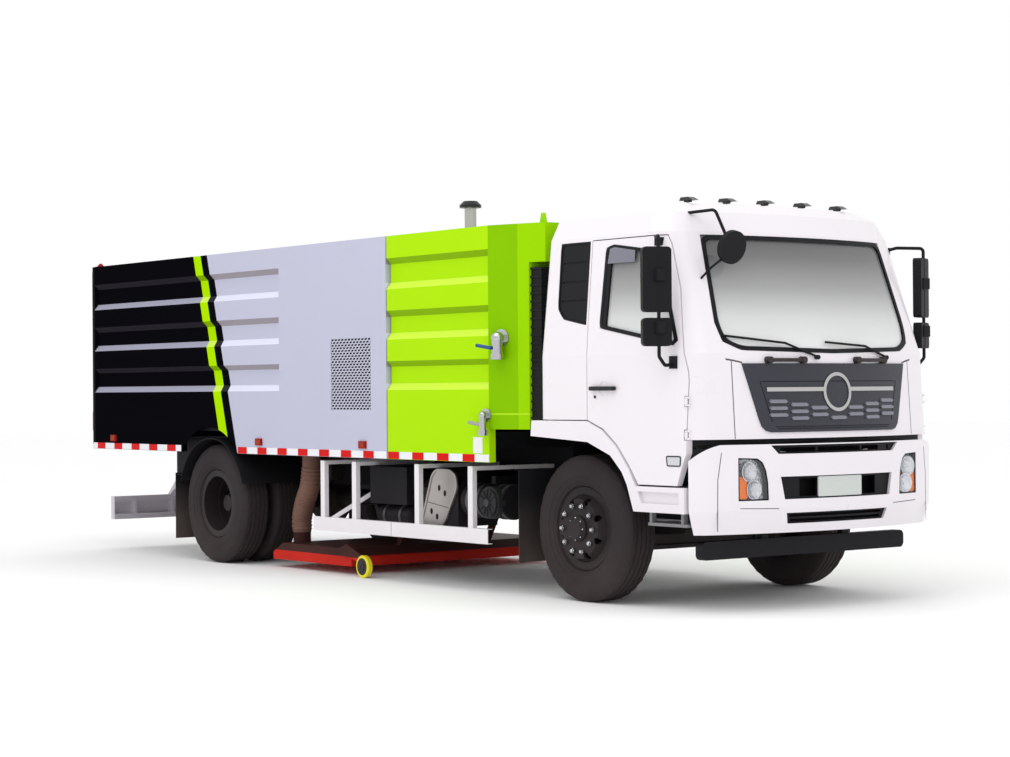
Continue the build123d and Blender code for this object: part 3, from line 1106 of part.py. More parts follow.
def cab_shell(skin):
    """Skin with its floor, rear window and tilt lugs."""
    floor_form = cab_form(CAB_SECTIONS, CAB_WALL - 1, lower=5, raise_top=5)
    floor = floor_form & block((at(-1000), at(CAB_FLOOR_FRONT_AT)), (-1400, 1400), CAB_FLOOR_Z)
    door_band = floor_form - cab_form(CAB_SECTIONS, CAB_WALL + RUN, lower=6, raise_top=6)
    door_zone = block((at(150), at(1180)), (-1400, 1400), CAB_FLOOR_Z)
    floor = floor - (door_band & door_zone)
    for y in (-DOOR_PIVOT_Y, DOOR_PIVOT_Y):
        floor = floor - rod((at(DOOR_PIVOT_AT), y, CAB_FLOOR_Z[0] - 1), (at(DOOR_PIVOT_AT), y, CAB_FLOOR_Z[1] + 1), DOOR_SWING_ROOM)
    rear_window = front_prism([(-560, 1800), (560, 1800), (560, 2350), (-560, 2350)], (at(-600), at(-100)))
    pieces = [skin - rear_window, floor]
    for side in (-1, 1):
        y = sorted((side * TILT_LUG_Y[0], side * TILT_LUG_Y[1]))
        pivot = (at(TILT_PIVOT_AT), TILT_PIVOT_Z)
        lug = side_prism([(pivot[0] + x, pivot[1] + z) for x, z in TILT_LUG_XZ], y)
        eye = across(*pivot, y, 28)
        pieces.append(fuse(lug, eye) - across(*pivot, (y[0] - 1, y[1] + 1), TILT_PIN_RADIUS + FIT))
    return fuse(*pieces)


def cab_roof():
    outer = cab_form(ROOF_SECTIONS, 0)
    inner = cab_form(ROOF_SECTIONS, CAB_WALL, lower=5)
    inner = Pos(0, 0, -CAB_WALL) * inner
    return outer - inner


def cab_mounts():
    """Chassis brackets that carry the tilt pins, and the rear cab rests."""
    pieces = []
    for side in (-1, 1):
        y = sorted((side * (TILT_LUG_Y[1] + RUN), side * (TILT_LUG_Y[1] + RUN + 24)))
        x = at(TILT_PIVOT_AT)
        plate = side_prism([(x - 250, RAIL_BOTTOM + 10), (x - 190, RAIL_BOTTOM + 10), (x + 18, TILT_PIVOT_Z - 20),
                            (x + 14, TILT_PIVOT_Z + 26), (x - 24, TILT_PIVOT_Z + 26), (x - 330, RAIL_TOP)], y)
        tie = block((at(RAIL_FRONT_AT) - 130, at(RAIL_FRONT_AT) - 10), sorted((side * RAIL_OUT, side * (TILT_LUG_Y[1] + RUN + 2))),
                    (RAIL_BOTTOM + 60, RAIL_TOP - 20))
        foot = block((at(RAIL_FRONT_AT) - 130, x - 200), y, (RAIL_BOTTOM + 60, RAIL_TOP - 20))
        pin = across(x, TILT_PIVOT_Z, sorted((side * (TILT_LUG_Y[0] - 4), side * (TILT_LUG_Y[1] + RUN + 10))), TILT_PIN_RADIUS)
        pieces.append(fuse(plate, tie, foot, pin))
        rest = block((at(-280), at(-180)), sorted((side * 360, side * RAIL_OUT)), (RAIL_TOP, CAB_FLOOR_Z[0] - RUN))
        pieces.append(rest)
    return pieces


# ---------------------------------------------------------------- cab fittings
GRILLE_YZ = [(-790.0, 1683.0), (790.0, 1683.0), (681.0, 1305.0), (662.0, 1255.0), (632.0, 1226.0), (590.0, 1215.0),
             (-590.0, 1215.0), (-632.0, 1226.0), (-662.0, 1255.0), (-681.0, 1305.0)]
GRILLE_THICK = 14.0
SLAT_RISE = 9.0
SLAT_COLUMNS = 7
SLAT_ROWS = 3
SLAT_PITCH_Y = 177.0
SLAT_PITCH_Z = 46.0
SLAT_LENGTH = 150.0
SLAT_HEIGHT = 20.0
SLAT_SLANT = 7.0
SLAT_TOP_Z = 1425.0
GRILLE_BAR_Z = (1492.0, 1520.0)
GRILLE_BAR_HALF = 620.0
RING_Z = 1487.0
RING_RADIUS = 135.0
RING_WIDTH = 24.0


def slat_places():
    """Centres of the slats: every other column drops half a pitch, and the ring keeps its room."""
    places = []
    for column in range(SLAT_COLUMNS):
        y = (column - (SLAT_COLUMNS - 1) / 2) * SLAT_PITCH_Y
        drop = SLAT_PITCH_Z / 2 if column % 2 else 0.0
        for row in range(SLAT_ROWS):
            z = SLAT_TOP_Z - drop - row * SLAT_PITCH_Z
            clear = RING_RADIUS + SLAT_HEIGHT
            near = max(abs(y) - SLAT_LENGTH / 2, 0.0)
            if near ** 2 + (RING_Z - z) ** 2 > clear ** 2:
                places.append((y, z))
    return places


def grille():
    """Dark trapezoid set on the front panel, with columns of short slats, a split bar and a plain ring."""
    plate = (cab_form(CAB_SECTIONS, -GRILLE_THICK, 5, 5) - cab_form(CAB_SECTIONS, -FIT, 6, 6)) & front_cut(GRILLE_YZ)
    raised = cab_form(CAB_SECTIONS, -GRILLE_THICK - SLAT_RISE, 5, 5) - cab_form(CAB_SECTIONS, 1 - GRILLE_THICK, 6, 6)
    half, tall = SLAT_LENGTH / 2, SLAT_HEIGHT / 2
    slats = []
    for y, z in slat_places():
        slats.append(raised & front_cut([(y - half + SLAT_SLANT, z + tall), (y - half, z - tall), (y + half, z - tall),
                                         (y + half - SLAT_SLANT, z + tall)]))
    centre, face = (at(CAB_FRONT_AT) - 60, 0, RING_Z), (at(CAB_FRONT_AT) + 90, 0, RING_Z)
    disc = rod(centre, face, RING_RADIUS)
    ring = raised & (disc - rod(centre, face, RING_RADIUS - RING_WIDTH))
    bar = raised & front_cut([(-GRILLE_BAR_HALF, GRILLE_BAR_Z[0]), (GRILLE_BAR_HALF, GRILLE_BAR_Z[0]),
                              (GRILLE_BAR_HALF, GRILLE_BAR_Z[1]), (-GRILLE_BAR_HALF, GRILLE_BAR_Z[1])])
    return fuse(plate, *slats, bar - disc, ring)


def cab_front_x(y, z):
    """X of the cab's outer front face at a place between its lowest and its seam section."""
    for (z0, x0, *_), (z1, x1, *_) in zip(CAB_SECTIONS, CAB_SECTIONS[1:]):
        if z0 <= z <= z1:
            front = x0 + (x1 - x0) * (z - z0) / (z1 - z0)
    return at(front) - (FRONT_ARC - sqrt(FRONT_ARC ** 2 - y ** 2))


#              pivot, bend and tip of each wiper, as (Y, Z)
WIPERS = [((-168.0, 1725.0), (-434.0, 1822.0), (-900.0, 1872.0)),
          ((560.0, 1725.0), (330.0, 1805.0), (-60.0, 1830.0))]


def wipers():
    sweepers = []
    keep_off = cab_form(CAB_SECTIONS, -FIT)
    for pivot, bend, tip in WIPERS:
        base, mid, end = [(cab_front_x(*place) + lift, *place) for place, lift in ((pivot, 24), (bend, 22), (tip, 12))]
        foot = rod((base[0] - 60, *pivot), (base[0] + 6, *pivot), 16)
        piece = fuse(rod(base, mid, 8), rod(mid, end, 8), Pos(*mid) * Sphere(8), foot)
        sweepers.append(piece - keep_off)
    return sweepers


STEP_FRONT_AT = 1172.0
LINER_REAR_AT = -395.0


def cab_fenders():
    """White arch flare, step box and foot step below each door, with the arch liner."""
    y_out, y_skin = -HALF_CAB - 8, -HALF_CAB + 34
    seam = FENDER_SEAM_Z - DOOR_SEAM
    band = [(-483.0, 1180.0), (-470.0, seam), (154.0, seam), (322.0, 1231.0), (472.0, 1120.0), (600.0, 972.0),
            (676.0, 850.0), (STEP_FRONT_AT, 850.0), (STEP_FRONT_AT, 676.0), (655.0, 676.0), (587.0, 857.0), (534.0, 943.0),
            (413.0, 1055.0), (163.0, 1145.0)]
    skin = side_prism([(at(x), z) for x, z in band], (y_out, y_skin))
    niche = side_prism([(at(x), z) for x, z in ((735, 735), (1120, 735), (1120, 815), (700, 815))], (y_out - 1, y_skin - 14))
    liner = [(LINER_REAR_AT, 1176.0), (163.0, 1145.0), (413.0, 1055.0), (534.0, 943.0), (587.0, 857.0), (655.0, 676.0),
             (667.0, 680.0), (599.0, 861.0), (545.0, 952.0), (420.0, 1067.0), (165.0, 1157.0), (LINER_REAR_AT, 1188.0)]
    arch = side_prism([(at(x), z) for x, z in liner], (y_skin - 1, -700))
    step_top = block((at(660), at(STEP_FRONT_AT)), (y_skin - 1, -900), (838, 850))
    hangers = [block((at(x) - 12, at(x) + 12), (y_skin - 10, y_skin + 30), (600, 690)) for x in (800, 1120)]
    foot_step = block((at(777), at(STEP_FRONT_AT)), (-HALF_CAB + 20, -950), (584, 605))
    post = [block((at(x) - 15, at(x) + 15), (-760, -700), (1140, CAB_FLOOR_Z[0])) for x in (-200, 60)]
    return both(fuse(skin - niche, arch, step_top, *hangers, foot_step, *post))


MIRROR_BAR = (1062.0, -1305.0)
MIRROR_TOE = 26.0
MIRROR_HEADS_Z = [(2029.0, 2468.0), (1801.0, 1991.0)]


def mirror_set():
    """Right mirror: looped arm on the door's front edge, with the main and the wide-angle head."""
    x, y = at(MIRROR_BAR[0]), MIRROR_BAR[1]
    arm = pipe([(at(860), -1090, 2520), (at(905), -1190, 2548), (x, y, 2540), (x, y, 1730), (x - 10, y + 60, 1672),
                (at(1060), -1080, 1690)], 28, 12)
    foot = block((at(1030), at(1100)), (-1190, -1040), (1650, 1735))
    bracket = block((at(830), at(890)), (-1136, -1060), (2492, 2548))
    heads = []
    for z in MIRROR_HEADS_Z:
        head = Box(64, 200, z[1] - z[0])
        head = fillet(head.edges().filter_by(Axis.X), 28)
        heads.append(Pos(x - 26, y, (z[0] + z[1]) / 2) * Rot(0, 0, -MIRROR_TOE) * head)
    return fuse(arm, foot, bracket, *heads) - cab_form(CAB_SECTIONS, -FIT, raise_top=5)


def front_mirror():
    """Round mirror on bent rods from the roof and the right windscreen pillar."""
    centre = (at(1235), -800, 2474)
    face = rod((centre[0] - 14, centre[1], centre[2] + 2), (centre[0] + 22, centre[1], centre[2] - 8), 115)
    arm = pipe([(at(860), -900, 2720), (at(1130), -850, 2730), (at(1225), centre[1], 2480)], 40, 11)
    stay = pipe([(at(1230), centre[1], 2440), (at(1170), -930, 2330), (at(1010), -955, 2200)], 40, 8)
    piece = fuse(face, arm, stay)
    return piece - cab_form(ROOF_SECTIONS, -FIT) - cab_form(CAB_SECTIONS, -FIT)


LAMP_AT = 735.0
LAMPS_Y = [-738.0, -371.0, 0.0, 371.0, 738.0]


def roof_z(x, y):
    """Height of the roof's outer face near its front top edge, x from the front axle."""
    (low, front, _, half), (high, front_in, _, half_in) = ROOF_SECTIONS[-2:]
    arch = FRONT_ARC - sqrt(FRONT_ARC ** 2 - y ** 2)
    share = min(1, (front - arch - x) / (front - front_in), (half - abs(y)) / (half - half_in))
    return low + (high - low) * share


def cab_roof_lamps():
    """Marker lamps: a foot with a low streamlined head."""
    lamps = []
    for y in LAMPS_Y:
        z = max(roof_z(LAMP_AT - 20, abs(y) - 20), roof_z(LAMP_AT - 20, y)) + FIT
        foot = block((at(LAMP_AT) - 20, at(LAMP_AT) + 20), (y - 20, y + 20), (z, z + 14))
        head = side_prism([(at(LAMP_AT) - 60, z + 12), (at(LAMP_AT) + 80, z + 12), (at(LAMP_AT) + 30, z + 36),
                           (at(LAMP_AT) - 45, z + 36)], (y - 30, y + 30))
        lamps.append(fuse(foot, head))
    return lamps


def seats():
    pieces = []
    for y in (-560.0, 560.0):
        cushion = block((at(120), at(620)), (y - 250, y + 250), (1500, 1620))
        backrest = side_prism([(at(100), 1560), (at(220), 1560), (at(130), 2200), (at(30), 2200)], (y - 240, y + 240))
        headrest = block((at(20), at(110)), (y - 130, y + 130), (2195, 2390))
        base = block((at(180), at(560)), (y - 200, y + 200), (CAB_FLOOR_Z[1], 1505))
        pieces.append(fuse(cushion, backrest, headrest, base))
    return pieces


def dashboard():
    """Dashboard across the cab, with the steering column and wheel on the left."""
    body = side_prism([(at(900), 1480), (at(1180), 1480), (at(1180), 1690), (at(960), 1700)], (-1020, 1020))
    legs = [block((at(1020), at(1140)), y, (CAB_FLOOR_Z[1], 1485)) for y in ((-1000, -940), (940, 1000))]
    centre = Vector(at(800), 560, 1800)
    axis = Vector(0.5, 0, -0.866)
    plane = Plane(origin=centre, z_dir=axis)
    wheel = plane * Torus(215, 16)
    spokes = [rod(centre, plane.from_local_coords(Vector(210 * cos(radians(a)), 210 * sin(radians(a)), 0)), 12)
              for a in (90, 210, 330)]
    column = rod(centre, centre + axis * 330, 34)
    return fuse(body, *legs, wheel, *spokes, column)


# ---------------------------------------------------------------- build
os.makedirs("parts", exist_ok=True)

save("frame_rails", frame_rails())
save("crossmembers", crossmembers())
save("front_axle_beam", front_axle_beam())
save("rear_axle", rear_axle())
save("leaf_springs", leaf_springs())
save("engines", engines())
save("tanks", tanks())
save("side_boxes", battery_box(), side_cover())
save("side_guards", side_guards())
save("mudguards", mudguards())
save("underrun_beams", underrun_beams())
save("cab_mounts", cab_mounts())
save("suction_nozzle", suction_nozzle())
save("suction_hoses", suction_hoses())
save("front_bumper", front_bumper())
save("bumper_inserts", bumper_inserts())
save("headlamps", headlamps())
save("bay_floor", bay_floor())
save("bay_sides", bay_sides())
save("bay_cover", bay_cover())
save("exhaust_stack", exhaust_stack())
save("outlet_valves", outlet_valves())
save("air_intake", air_intake())

save("tank_floor", tank_floor())
save("tank_sides", tank_sides())
save("tank_panels", tank_roof(), tank_bulkhead())
save("rear_frame", rear_frame())
save("body_lamps", body_lamps(), tail_lamps())
save("tail_door", tail_door())

cab = cab_parts()
save("cab_shell", cab_shell(cab["skin"]))
save("cab_roof", cab_roof())
save("cab_front_panel", cab["front_panel"])
save("windscreen", cab["windscreen"])
save("louvre_panels", both(cab["louvre"]))
save("grille", grille())
save("wipers", wipers())
save("cab_fenders", cab_fenders())
save("front_mirror", front_mirror())
save("cab_roof_lamps", cab_roof_lamps())
save("seats", seats())
save("dashboard", dashboard())

front_rim, front_tyre = front_wheel()
rear_rims, rear_tyres = rear_wheels()
knuckle, mirror_arm, caster = steering_knuckle(), mirror_set(), nozzle_wheel()
for name, turn in (("right", lambda shape: shape), ("left", mirrored)):
    save(f"door_{name}", turn(cab["door"]))
    save(f"door_glass_{name}", turn(cab["glass"]))
    save(f"mirror_{name}", turn(mirror_arm))
    save(f"knuckle_{name}", turn(knuckle))
    save(f"front_rim_{name}", turn(front_rim))
    save(f"front_tyre_{name}", turn(front_tyre))
    save(f"rear_rims_{name}", turn(rear_rims))
    save(f"rear_tyres_{name}", [turn(piece) for piece in rear_tyres])
    save(f"nozzle_wheel_{name}", turn(caster))
save("tie_rod", tie_rod())
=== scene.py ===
"""Looks of the street sweeper truck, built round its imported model. Metres, +X forward, +Z up."""
from math import cos, floor, pi, radians, sin

import bmesh
import bpy
from mathutils import Matrix, Vector


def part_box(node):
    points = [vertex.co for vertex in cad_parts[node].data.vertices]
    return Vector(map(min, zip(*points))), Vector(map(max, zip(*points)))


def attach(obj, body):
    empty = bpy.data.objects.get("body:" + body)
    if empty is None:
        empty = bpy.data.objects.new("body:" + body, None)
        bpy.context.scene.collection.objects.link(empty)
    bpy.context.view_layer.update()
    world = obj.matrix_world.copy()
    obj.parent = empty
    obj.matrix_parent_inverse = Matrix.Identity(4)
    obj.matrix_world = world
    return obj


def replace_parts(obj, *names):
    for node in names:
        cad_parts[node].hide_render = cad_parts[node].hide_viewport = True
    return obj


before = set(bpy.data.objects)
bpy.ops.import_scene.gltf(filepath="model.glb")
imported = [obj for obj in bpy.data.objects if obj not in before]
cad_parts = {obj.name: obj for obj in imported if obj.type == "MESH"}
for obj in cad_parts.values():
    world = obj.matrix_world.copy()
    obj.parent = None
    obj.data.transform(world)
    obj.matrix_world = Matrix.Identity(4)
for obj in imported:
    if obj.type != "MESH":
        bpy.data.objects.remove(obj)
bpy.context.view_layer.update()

# ---- Studio --------------------------------------------------------------------------------
# A pale floor under a white surround, one broad soft light above the truck's right front
# corner with weaker ones ahead and behind, and a camera at the kerb ahead and to the right.
wheel_low, wheel_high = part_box("front_tyre_right")
FRONT_AXLE_X = (wheel_low[0] + wheel_high[0]) / 2
CAMERA_FROM_AXLE = Vector((12.137, -11.078, 1.518))
CAMERA_YAW, CAMERA_PITCH, CAMERA_ROLL = radians(37.42), radians(0.29), radians(-0.44)
CAMERA_LENS = 78.55
FLOOR_HALF = 60.0
PALE = (0.99, 0.99, 0.99, 1.0)
#              name, place, aimed at, width, power
LIGHTS = [("overhead_light", (3.0, -5.0, 9.0), (0.0, 0.0, 1.0), 8.0, 230.0),
          ("front_light", (11.0, -2.0, 6.0), (4.0, 0.0, 1.2), 5.0, 40.0),
          ("back_light", (-9.0, 7.0, 7.0), (-2.0, 0.0, 1.0), 6.0, 90.0)]


def oblong(left, low, right, high):
    return [(left, low), (right, low), (right, high), (left, high)]


def wire_up(node, **sockets):
    """Give each named socket of a node a value, or link another node's socket to it."""
    numbered = {"first": 0, "second": 1, "third": 2, "before": 6, "after": 7}
    for name, value in sockets.items():
        socket = node.inputs[numbered.get(name, name.replace("_", " "))]
        value = getattr(value, "socket", value)
        if isinstance(value, bpy.types.NodeSocket):
            node.id_data.links.new(value, socket)
        else:
            socket.default_value = value
    return node


def blank(name):
    """Empty material with its tree and shader; what is made of it goes into the slot."""
    material = bpy.data.materials.new(name)
    material.use_nodes = True
    return material, material.node_tree, material.node_tree.nodes["Principled BSDF"]


scene = bpy.context.scene
scene.view_settings.view_transform = "Standard"
scene.view_settings.look = "None"
ahead = Vector((-cos(CAMERA_YAW) * cos(CAMERA_PITCH), sin(CAMERA_YAW) * cos(CAMERA_PITCH),
                sin(CAMERA_PITCH)))
level_right = ahead.cross(Vector((0, 0, 1))).normalized()
level_up = level_right.cross(ahead)
right = cos(CAMERA_ROLL) * level_right + sin(CAMERA_ROLL) * level_up
up = cos(CAMERA_ROLL) * level_up - sin(CAMERA_ROLL) * level_right
lens = bpy.data.cameras.new("kerb_camera")
lens.sensor_width = 36.0
lens.lens = CAMERA_LENS
camera = bpy.data.objects.new("kerb_camera", lens)
scene.collection.objects.link(camera)
turn = Matrix((right, up, -ahead)).transposed().to_4x4()
camera.matrix_world = Matrix.Translation(CAMERA_FROM_AXLE + Vector((FRONT_AXLE_X, 0, 0))) @ turn
scene.camera = camera

world = bpy.data.worlds.new("white_surround")
scene.world = world
world.use_nodes = True
wire_up(world.node_tree.nodes["Background"], Color=(1, 1, 1, 1), Strength=1.0)

for name, place, aim, width, power in LIGHTS:
    light = bpy.data.lights.new(name, "AREA")
    light.shape = "SQUARE"
    light.size = width
    light.energy = power
    lamp = bpy.data.objects.new(name, light)
    lamp.location = place
    lamp.rotation_euler = (Vector(aim) - Vector(place)).to_track_quat("-Z", "Y").to_euler()
    scene.collection.objects.link(lamp)

ground = bpy.data.meshes.new("studio_floor")
corners = [(x, y, 0) for x, y in oblong(-FLOOR_HALF, -FLOOR_HALF, FLOOR_HALF, FLOOR_HALF)]
ground.from_pydata(corners, [], [(0, 1, 2, 3)])
studio_floor = bpy.data.objects.new("studio_floor", ground)
scene.collection.objects.link(studio_floor)
floor_finish, _, floor_shader = blank("studio_floor")
wire_up(floor_shader, Base_Color=PALE, Roughness=0.9)
ground.materials.append(floor_finish)

# ---- Paint on the cab ----------------------------------------------------------------------
# Pressed steel panels and moulded corners in one gloss white under a clear coat, greyed by
# road film towards the ground. The wheel arches inside are black and the foot steps bare.
CAB_WHITE = (0.80, 0.76, 0.80)
ROAD_FILM = (0.17, 0.13, 0.115)
THICKEST_FILM = 0.85
ARCH_BLACK = (0.010, 0.010, 0.012)
STEP_GREY = (0.20, 0.20, 0.21)
SKIN_INSIDE = 1.146
STEP_TOP = 0.672


def add_node(tree, kind, options=(), **sockets):
    made = tree.nodes.new(kind)
    for name, value in dict(options).items():
        setattr(made, name, value)
    return wire_up(made, **sockets)


class Wire:
    """Number carried by a node's socket; a sum written with it adds the nodes that work it out."""

    def __init__(self, tree, socket):
        self.tree, self.socket = tree, socket

    def do(self, operation, *others):
        given = dict(zip(("first", "second", "third"), (self, *others)))
        made = add_node(self.tree, "ShaderNodeMath", {"operation": operation}, **given)
        return Wire(self.tree, made.outputs[0])

    def __add__(self, other):
        return self.do("ADD", other)

    def __sub__(self, other):
        return self.do("SUBTRACT", other)

    def __rsub__(self, other):
        return self.do("MULTIPLY_ADD", -1.0, other)

    def __mul__(self, other):
        return self.do("MULTIPLY", other)

    def __truediv__(self, other):
        return self.do("DIVIDE", other)

    def __gt__(self, other):
        return self.do("GREATER_THAN", other)

    def __lt__(self, other):
        return self.do("LESS_THAN", other)

    def __abs__(self):
        return self.do("ABSOLUTE")


def mixed(factor, before, after):
    """Mix of two colours, each three numbers or a socket."""
    before, after = [(*colour, 1.0) if isinstance(colour, tuple) else colour for colour in (before, after)]
    settings = {"data_type": "RGBA"}
    return add_node(factor.tree, "ShaderNodeMix", settings, Factor=factor, before=before,
                    after=after).outputs[2]


def finish(name, colour, roughness, metallic=0.0, coat=0.0, mottle=0.05, grain=(180.0, 0.02), film=0.0,
           film_top=1.0, shine=0.5, slot="black_plastic"):
    """Procedural finish; colour is three numbers, or a function from X, Y and Z to a socket.

    mottle is the slow change of tone, grain the scale and strength of the fine relief, and film
    how far road dust covers the piece at the ground, fading out at the height film_top.
    """
    material, tree, shader = blank(name)
    place = add_node(tree, "ShaderNodeTexCoord").outputs["Object"]
    x, y, z = [Wire(tree, axis) for axis in add_node(tree, "ShaderNodeSeparateXYZ", Vector=place).outputs]
    slow = add_node(tree, "ShaderNodeTexNoise", Vector=place, Scale=1.7, Detail=5.0, Roughness=0.6)
    slow = Wire(tree, slow.outputs["Fac"])
    fine = add_node(tree, "ShaderNodeTexNoise", Vector=place, Scale=grain[0], Detail=3.0).outputs["Fac"]
    base = colour(x, y, z) if callable(colour) else (*colour, 1.0)
    tone = slow * (2 * mottle) + (1 - mottle)
    toned = add_node(tree, "ShaderNodeHueSaturation", Color=base, Value=tone).outputs[0]
    if film:
        cover = (1.0 - z / film_top).do("MAXIMUM", 0.0) * (slow * 1.6 - 0.1) * film
        toned = mixed(cover.do("MINIMUM", THICKEST_FILM), toned, ROAD_FILM)
    smoothest = max(roughness - 0.08, 0.03)
    rough = add_node(tree, "ShaderNodeMapRange", Value=slow, To_Min=smoothest, To_Max=roughness + 0.08)
    relief = add_node(tree, "ShaderNodeBump", Height=fine, Strength=grain[1], Distance=0.01)
    wire_up(shader, Base_Color=toned, Roughness=rough.outputs["Result"], Normal=relief.outputs["Normal"],
            Metallic=metallic, Coat_Weight=coat, Coat_Roughness=0.08, Specular_IOR_Level=shine)
    return material


def dress(material, *nodes):
    """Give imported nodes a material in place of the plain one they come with."""
    for node in nodes:
        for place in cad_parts[node].material_slots:
            place.material = material
    return material


def fender_colours(x, y, z):
    """White outside, black under the arch, bare grey on the hanging foot step."""
    painted = mixed(abs(y) < SKIN_INSIDE, CAB_WHITE, ARCH_BLACK)
    return mixed(z < STEP_TOP, painted, STEP_GREY)


cab_white = finish("gloss_white_paint", CAB_WHITE, 0.30, coat=0.5, mottle=0.006, grain=(180.0, 0.0),
                   film=0.2, film_top=0.8, slot="white_paint")
dress(cab_white, "cab_shell", "cab_roof", "cab_front_panel", "door_right", "door_left", "front_bumper",
      "side_guards")
dress(finish("white_fender_black_arch", fender_colours, 0.35, mottle=0.03, film=0.3, film_top=0.9,
             shine=0.3),
      "cab_fenders")

# ---- Paint on the body ---------------------------------------------------------------------
# Folded sheet sides. The rear is black, parted from the pale grey by a slanted lime stripe
# with a black edge; the fixed bay and the hopper ahead of it are lime all over.
# The groove flanks carry a painted highlight where they face up and painted shading where they face down.


def at(millimetres):
    """X of a place measured from the front axle, forward positive."""
    return FRONT_AXLE_X + millimetres / 1000


LIME = (0.40, 0.74, 0.0)
# The hopper's deep lime is painted shade on its slanted wall.
HOPPER_LIME_PAINTED_SHADE = (0.22, 0.50, 0.0)
PANEL_GREY = (0.505, 0.51, 0.635)
PANEL_BLACK = (0.0035, 0.0035, 0.005)
BODY_BOTTOM, BODY_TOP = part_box("tank_sides")[0][2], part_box("tank_sides")[1][2]
HALF_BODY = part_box("tank_sides")[1][1]
#             how far below the top: lower flank from, to; upper flank from, to
FLANKS_DOWN = [(1.217, 1.163, 1.031, 0.987), (0.819, 0.765, 0.638, 0.589), (0.421, 0.368, 0.223, 0.175)]
FLANK_SINK = 0.0008
#                   edge at the top, lean forward a metre down, then what is ahead: flat colour, painted
#                   highlight on the up-facing flank, painted shading on the down-facing flank
STRIPES = [(at(-5312), 0.277, LIME, (0.62, 0.86, 0.10), (0.22, 0.40, 0.0)),
           (at(-5182), 0.282, PANEL_BLACK, (0.030, 0.030, 0.040), (0.010, 0.010, 0.012)),
           (at(-5068), 0.289, PANEL_GREY, (0.74, 0.74, 0.88), (0.33, 0.30, 0.33))]
# Painted highlight on the up-facing flanks and painted shading on the down-facing flanks, on the rear black
# and on the lime bay.
REAR_UP_FLANK_HIGHLIGHT, REAR_DOWN_FLANK_SHADING = (0.36, 0.36, 0.46), (0.022, 0.020, 0.026)
BAY_UP_FLANK_HIGHLIGHT, BAY_DOWN_FLANK_SHADING = (0.60, 0.84, 0.06), (0.23, 0.43, 0.0)
# Past the fold the hopper is paler as painted light, and along the crease as a painted highlight.
FOLD_AT = at(-655)
FOLD_LIME_PAINTED_LIGHT = (0.30, 0.62, 0.0)
CREASE_Z, CREASE_HALF = 1.338, 0.006
CREASE_LIME_PAINTED_HIGHLIGHT = (0.42, 0.72, 0.02)


def on_flanks(y, drop, flat, up_highlight, down_shading):
    """Colour with the flanks of the pressed grooves picked out in painted light: a painted highlight on
    those that face up, painted shading on those that face down.
    """
    sunk = abs(y) < HALF_BODY - FLANK_SINK
    for first, second, colour in ((0, 1, up_highlight), (2, 3, down_shading)):
        inside = sunk * 0.0
        for row in FLANKS_DOWN:
            inside += drop.do("COMPARE", (row[first] + row[second]) / 2,
                              (row[first] - row[second]) / 2 - 0.0005)
        flat = mixed(inside * sunk, flat, colour)
    return flat


def side_colours(x, y, z):
    """Black, lime, black and grey from rear to front, parted by slanted lines."""
    drop = BODY_TOP - z
    colours = PANEL_BLACK, REAR_UP_FLANK_HIGHLIGHT, REAR_DOWN_FLANK_SHADING
    for start, lean, *ahead_of_it in STRIPES:
        past = x > drop * lean + start
        colours = [mixed(past, behind, beyond) for behind, beyond in zip(colours, ahead_of_it)]
    return on_flanks(y, drop, *colours)


def bay_colours(x, y, z):
    return on_flanks(y, BODY_TOP - z, LIME, BAY_UP_FLANK_HIGHLIGHT, BAY_DOWN_FLANK_SHADING)


def hopper_colours(x, y, z):
    """Lime darkened by painted shade on the slanted wall, with painted light past the front fold and a
    painted highlight along the crease low down.
    """
    folded = mixed(x > FOLD_AT, HOPPER_LIME_PAINTED_SHADE, FOLD_LIME_PAINTED_LIGHT)
    return mixed(z.do("COMPARE", CREASE_Z, CREASE_HALF), folded, CREASE_LIME_PAINTED_HIGHLIGHT)


# Body and bay paint, with a painted highlight and painted shading on the groove flanks.
striped_paint_and_flank_light = finish("striped_body_paint", side_colours, 0.45, mottle=0.02, grain=(180.0, 0.0), film=0.02,
                       shine=0.0, slot="tank_paint")
dress(striped_paint_and_flank_light, "tank_sides")
dress(finish("lime_bay_paint", bay_colours, 0.4, mottle=0.02, grain=(180.0, 0.0), film=0.02, shine=0.04),
      "bay_sides")
dress(finish("lime_hopper_paint", hopper_colours, 0.4, mottle=0.06, grain=(180.0, 0.0), film=0.04,
             shine=0.04),
      "bay_cover")
dress(finish("grey_roof_paint", PANEL_GREY, 0.4, coat=0.3, mottle=0.04), "tank_panels")
dress(finish("black_rear_paint", PANEL_BLACK, 0.4, mottle=0.05, film=0.03, shine=0.02), "rear_frame",
      "tail_door")

# ---- Frame and running gear ----------------------------------------------------------------
# Pressed and cast steel under satin black chassis paint, dusted by the road. The engines are
# bare castings, and the knuckles, axles and springs are rougher than the rails.
frame_paint = finish("satin_chassis_paint", (0.008, 0.008, 0.011), 0.5, mottle=0.2, film=0.15, film_top=1.1,
                     shine=0.08, slot="frame_paint")
dress(frame_paint, "frame_rails", "crossmembers", "tanks", "side_boxes", "cab_mounts", "bay_floor",
      "tank_floor")
dress(finish("rough_cast_metal", (0.024, 0.023, 0.023), 0.62, 0.2, mottle=0.25, grain=(70.0, 0.25),
             film=0.5, shine=0.2),
      "front_axle_beam", "rear_axle", "leaf_springs", "knuckle_right", "knuckle_left", "tie_rod")
dress(finish("bare_engine_casting", (0.12, 0.12, 0.125), 0.55, 0.7, mottle=0.2, grain=(60.0, 0.3),
             film=0.3), "engines")
black_plastic = finish("grained_black_plastic", (0.010, 0.010, 0.012), 0.5, mottle=0.1, grain=(420.0, 0.12),
                       shine=0.12)
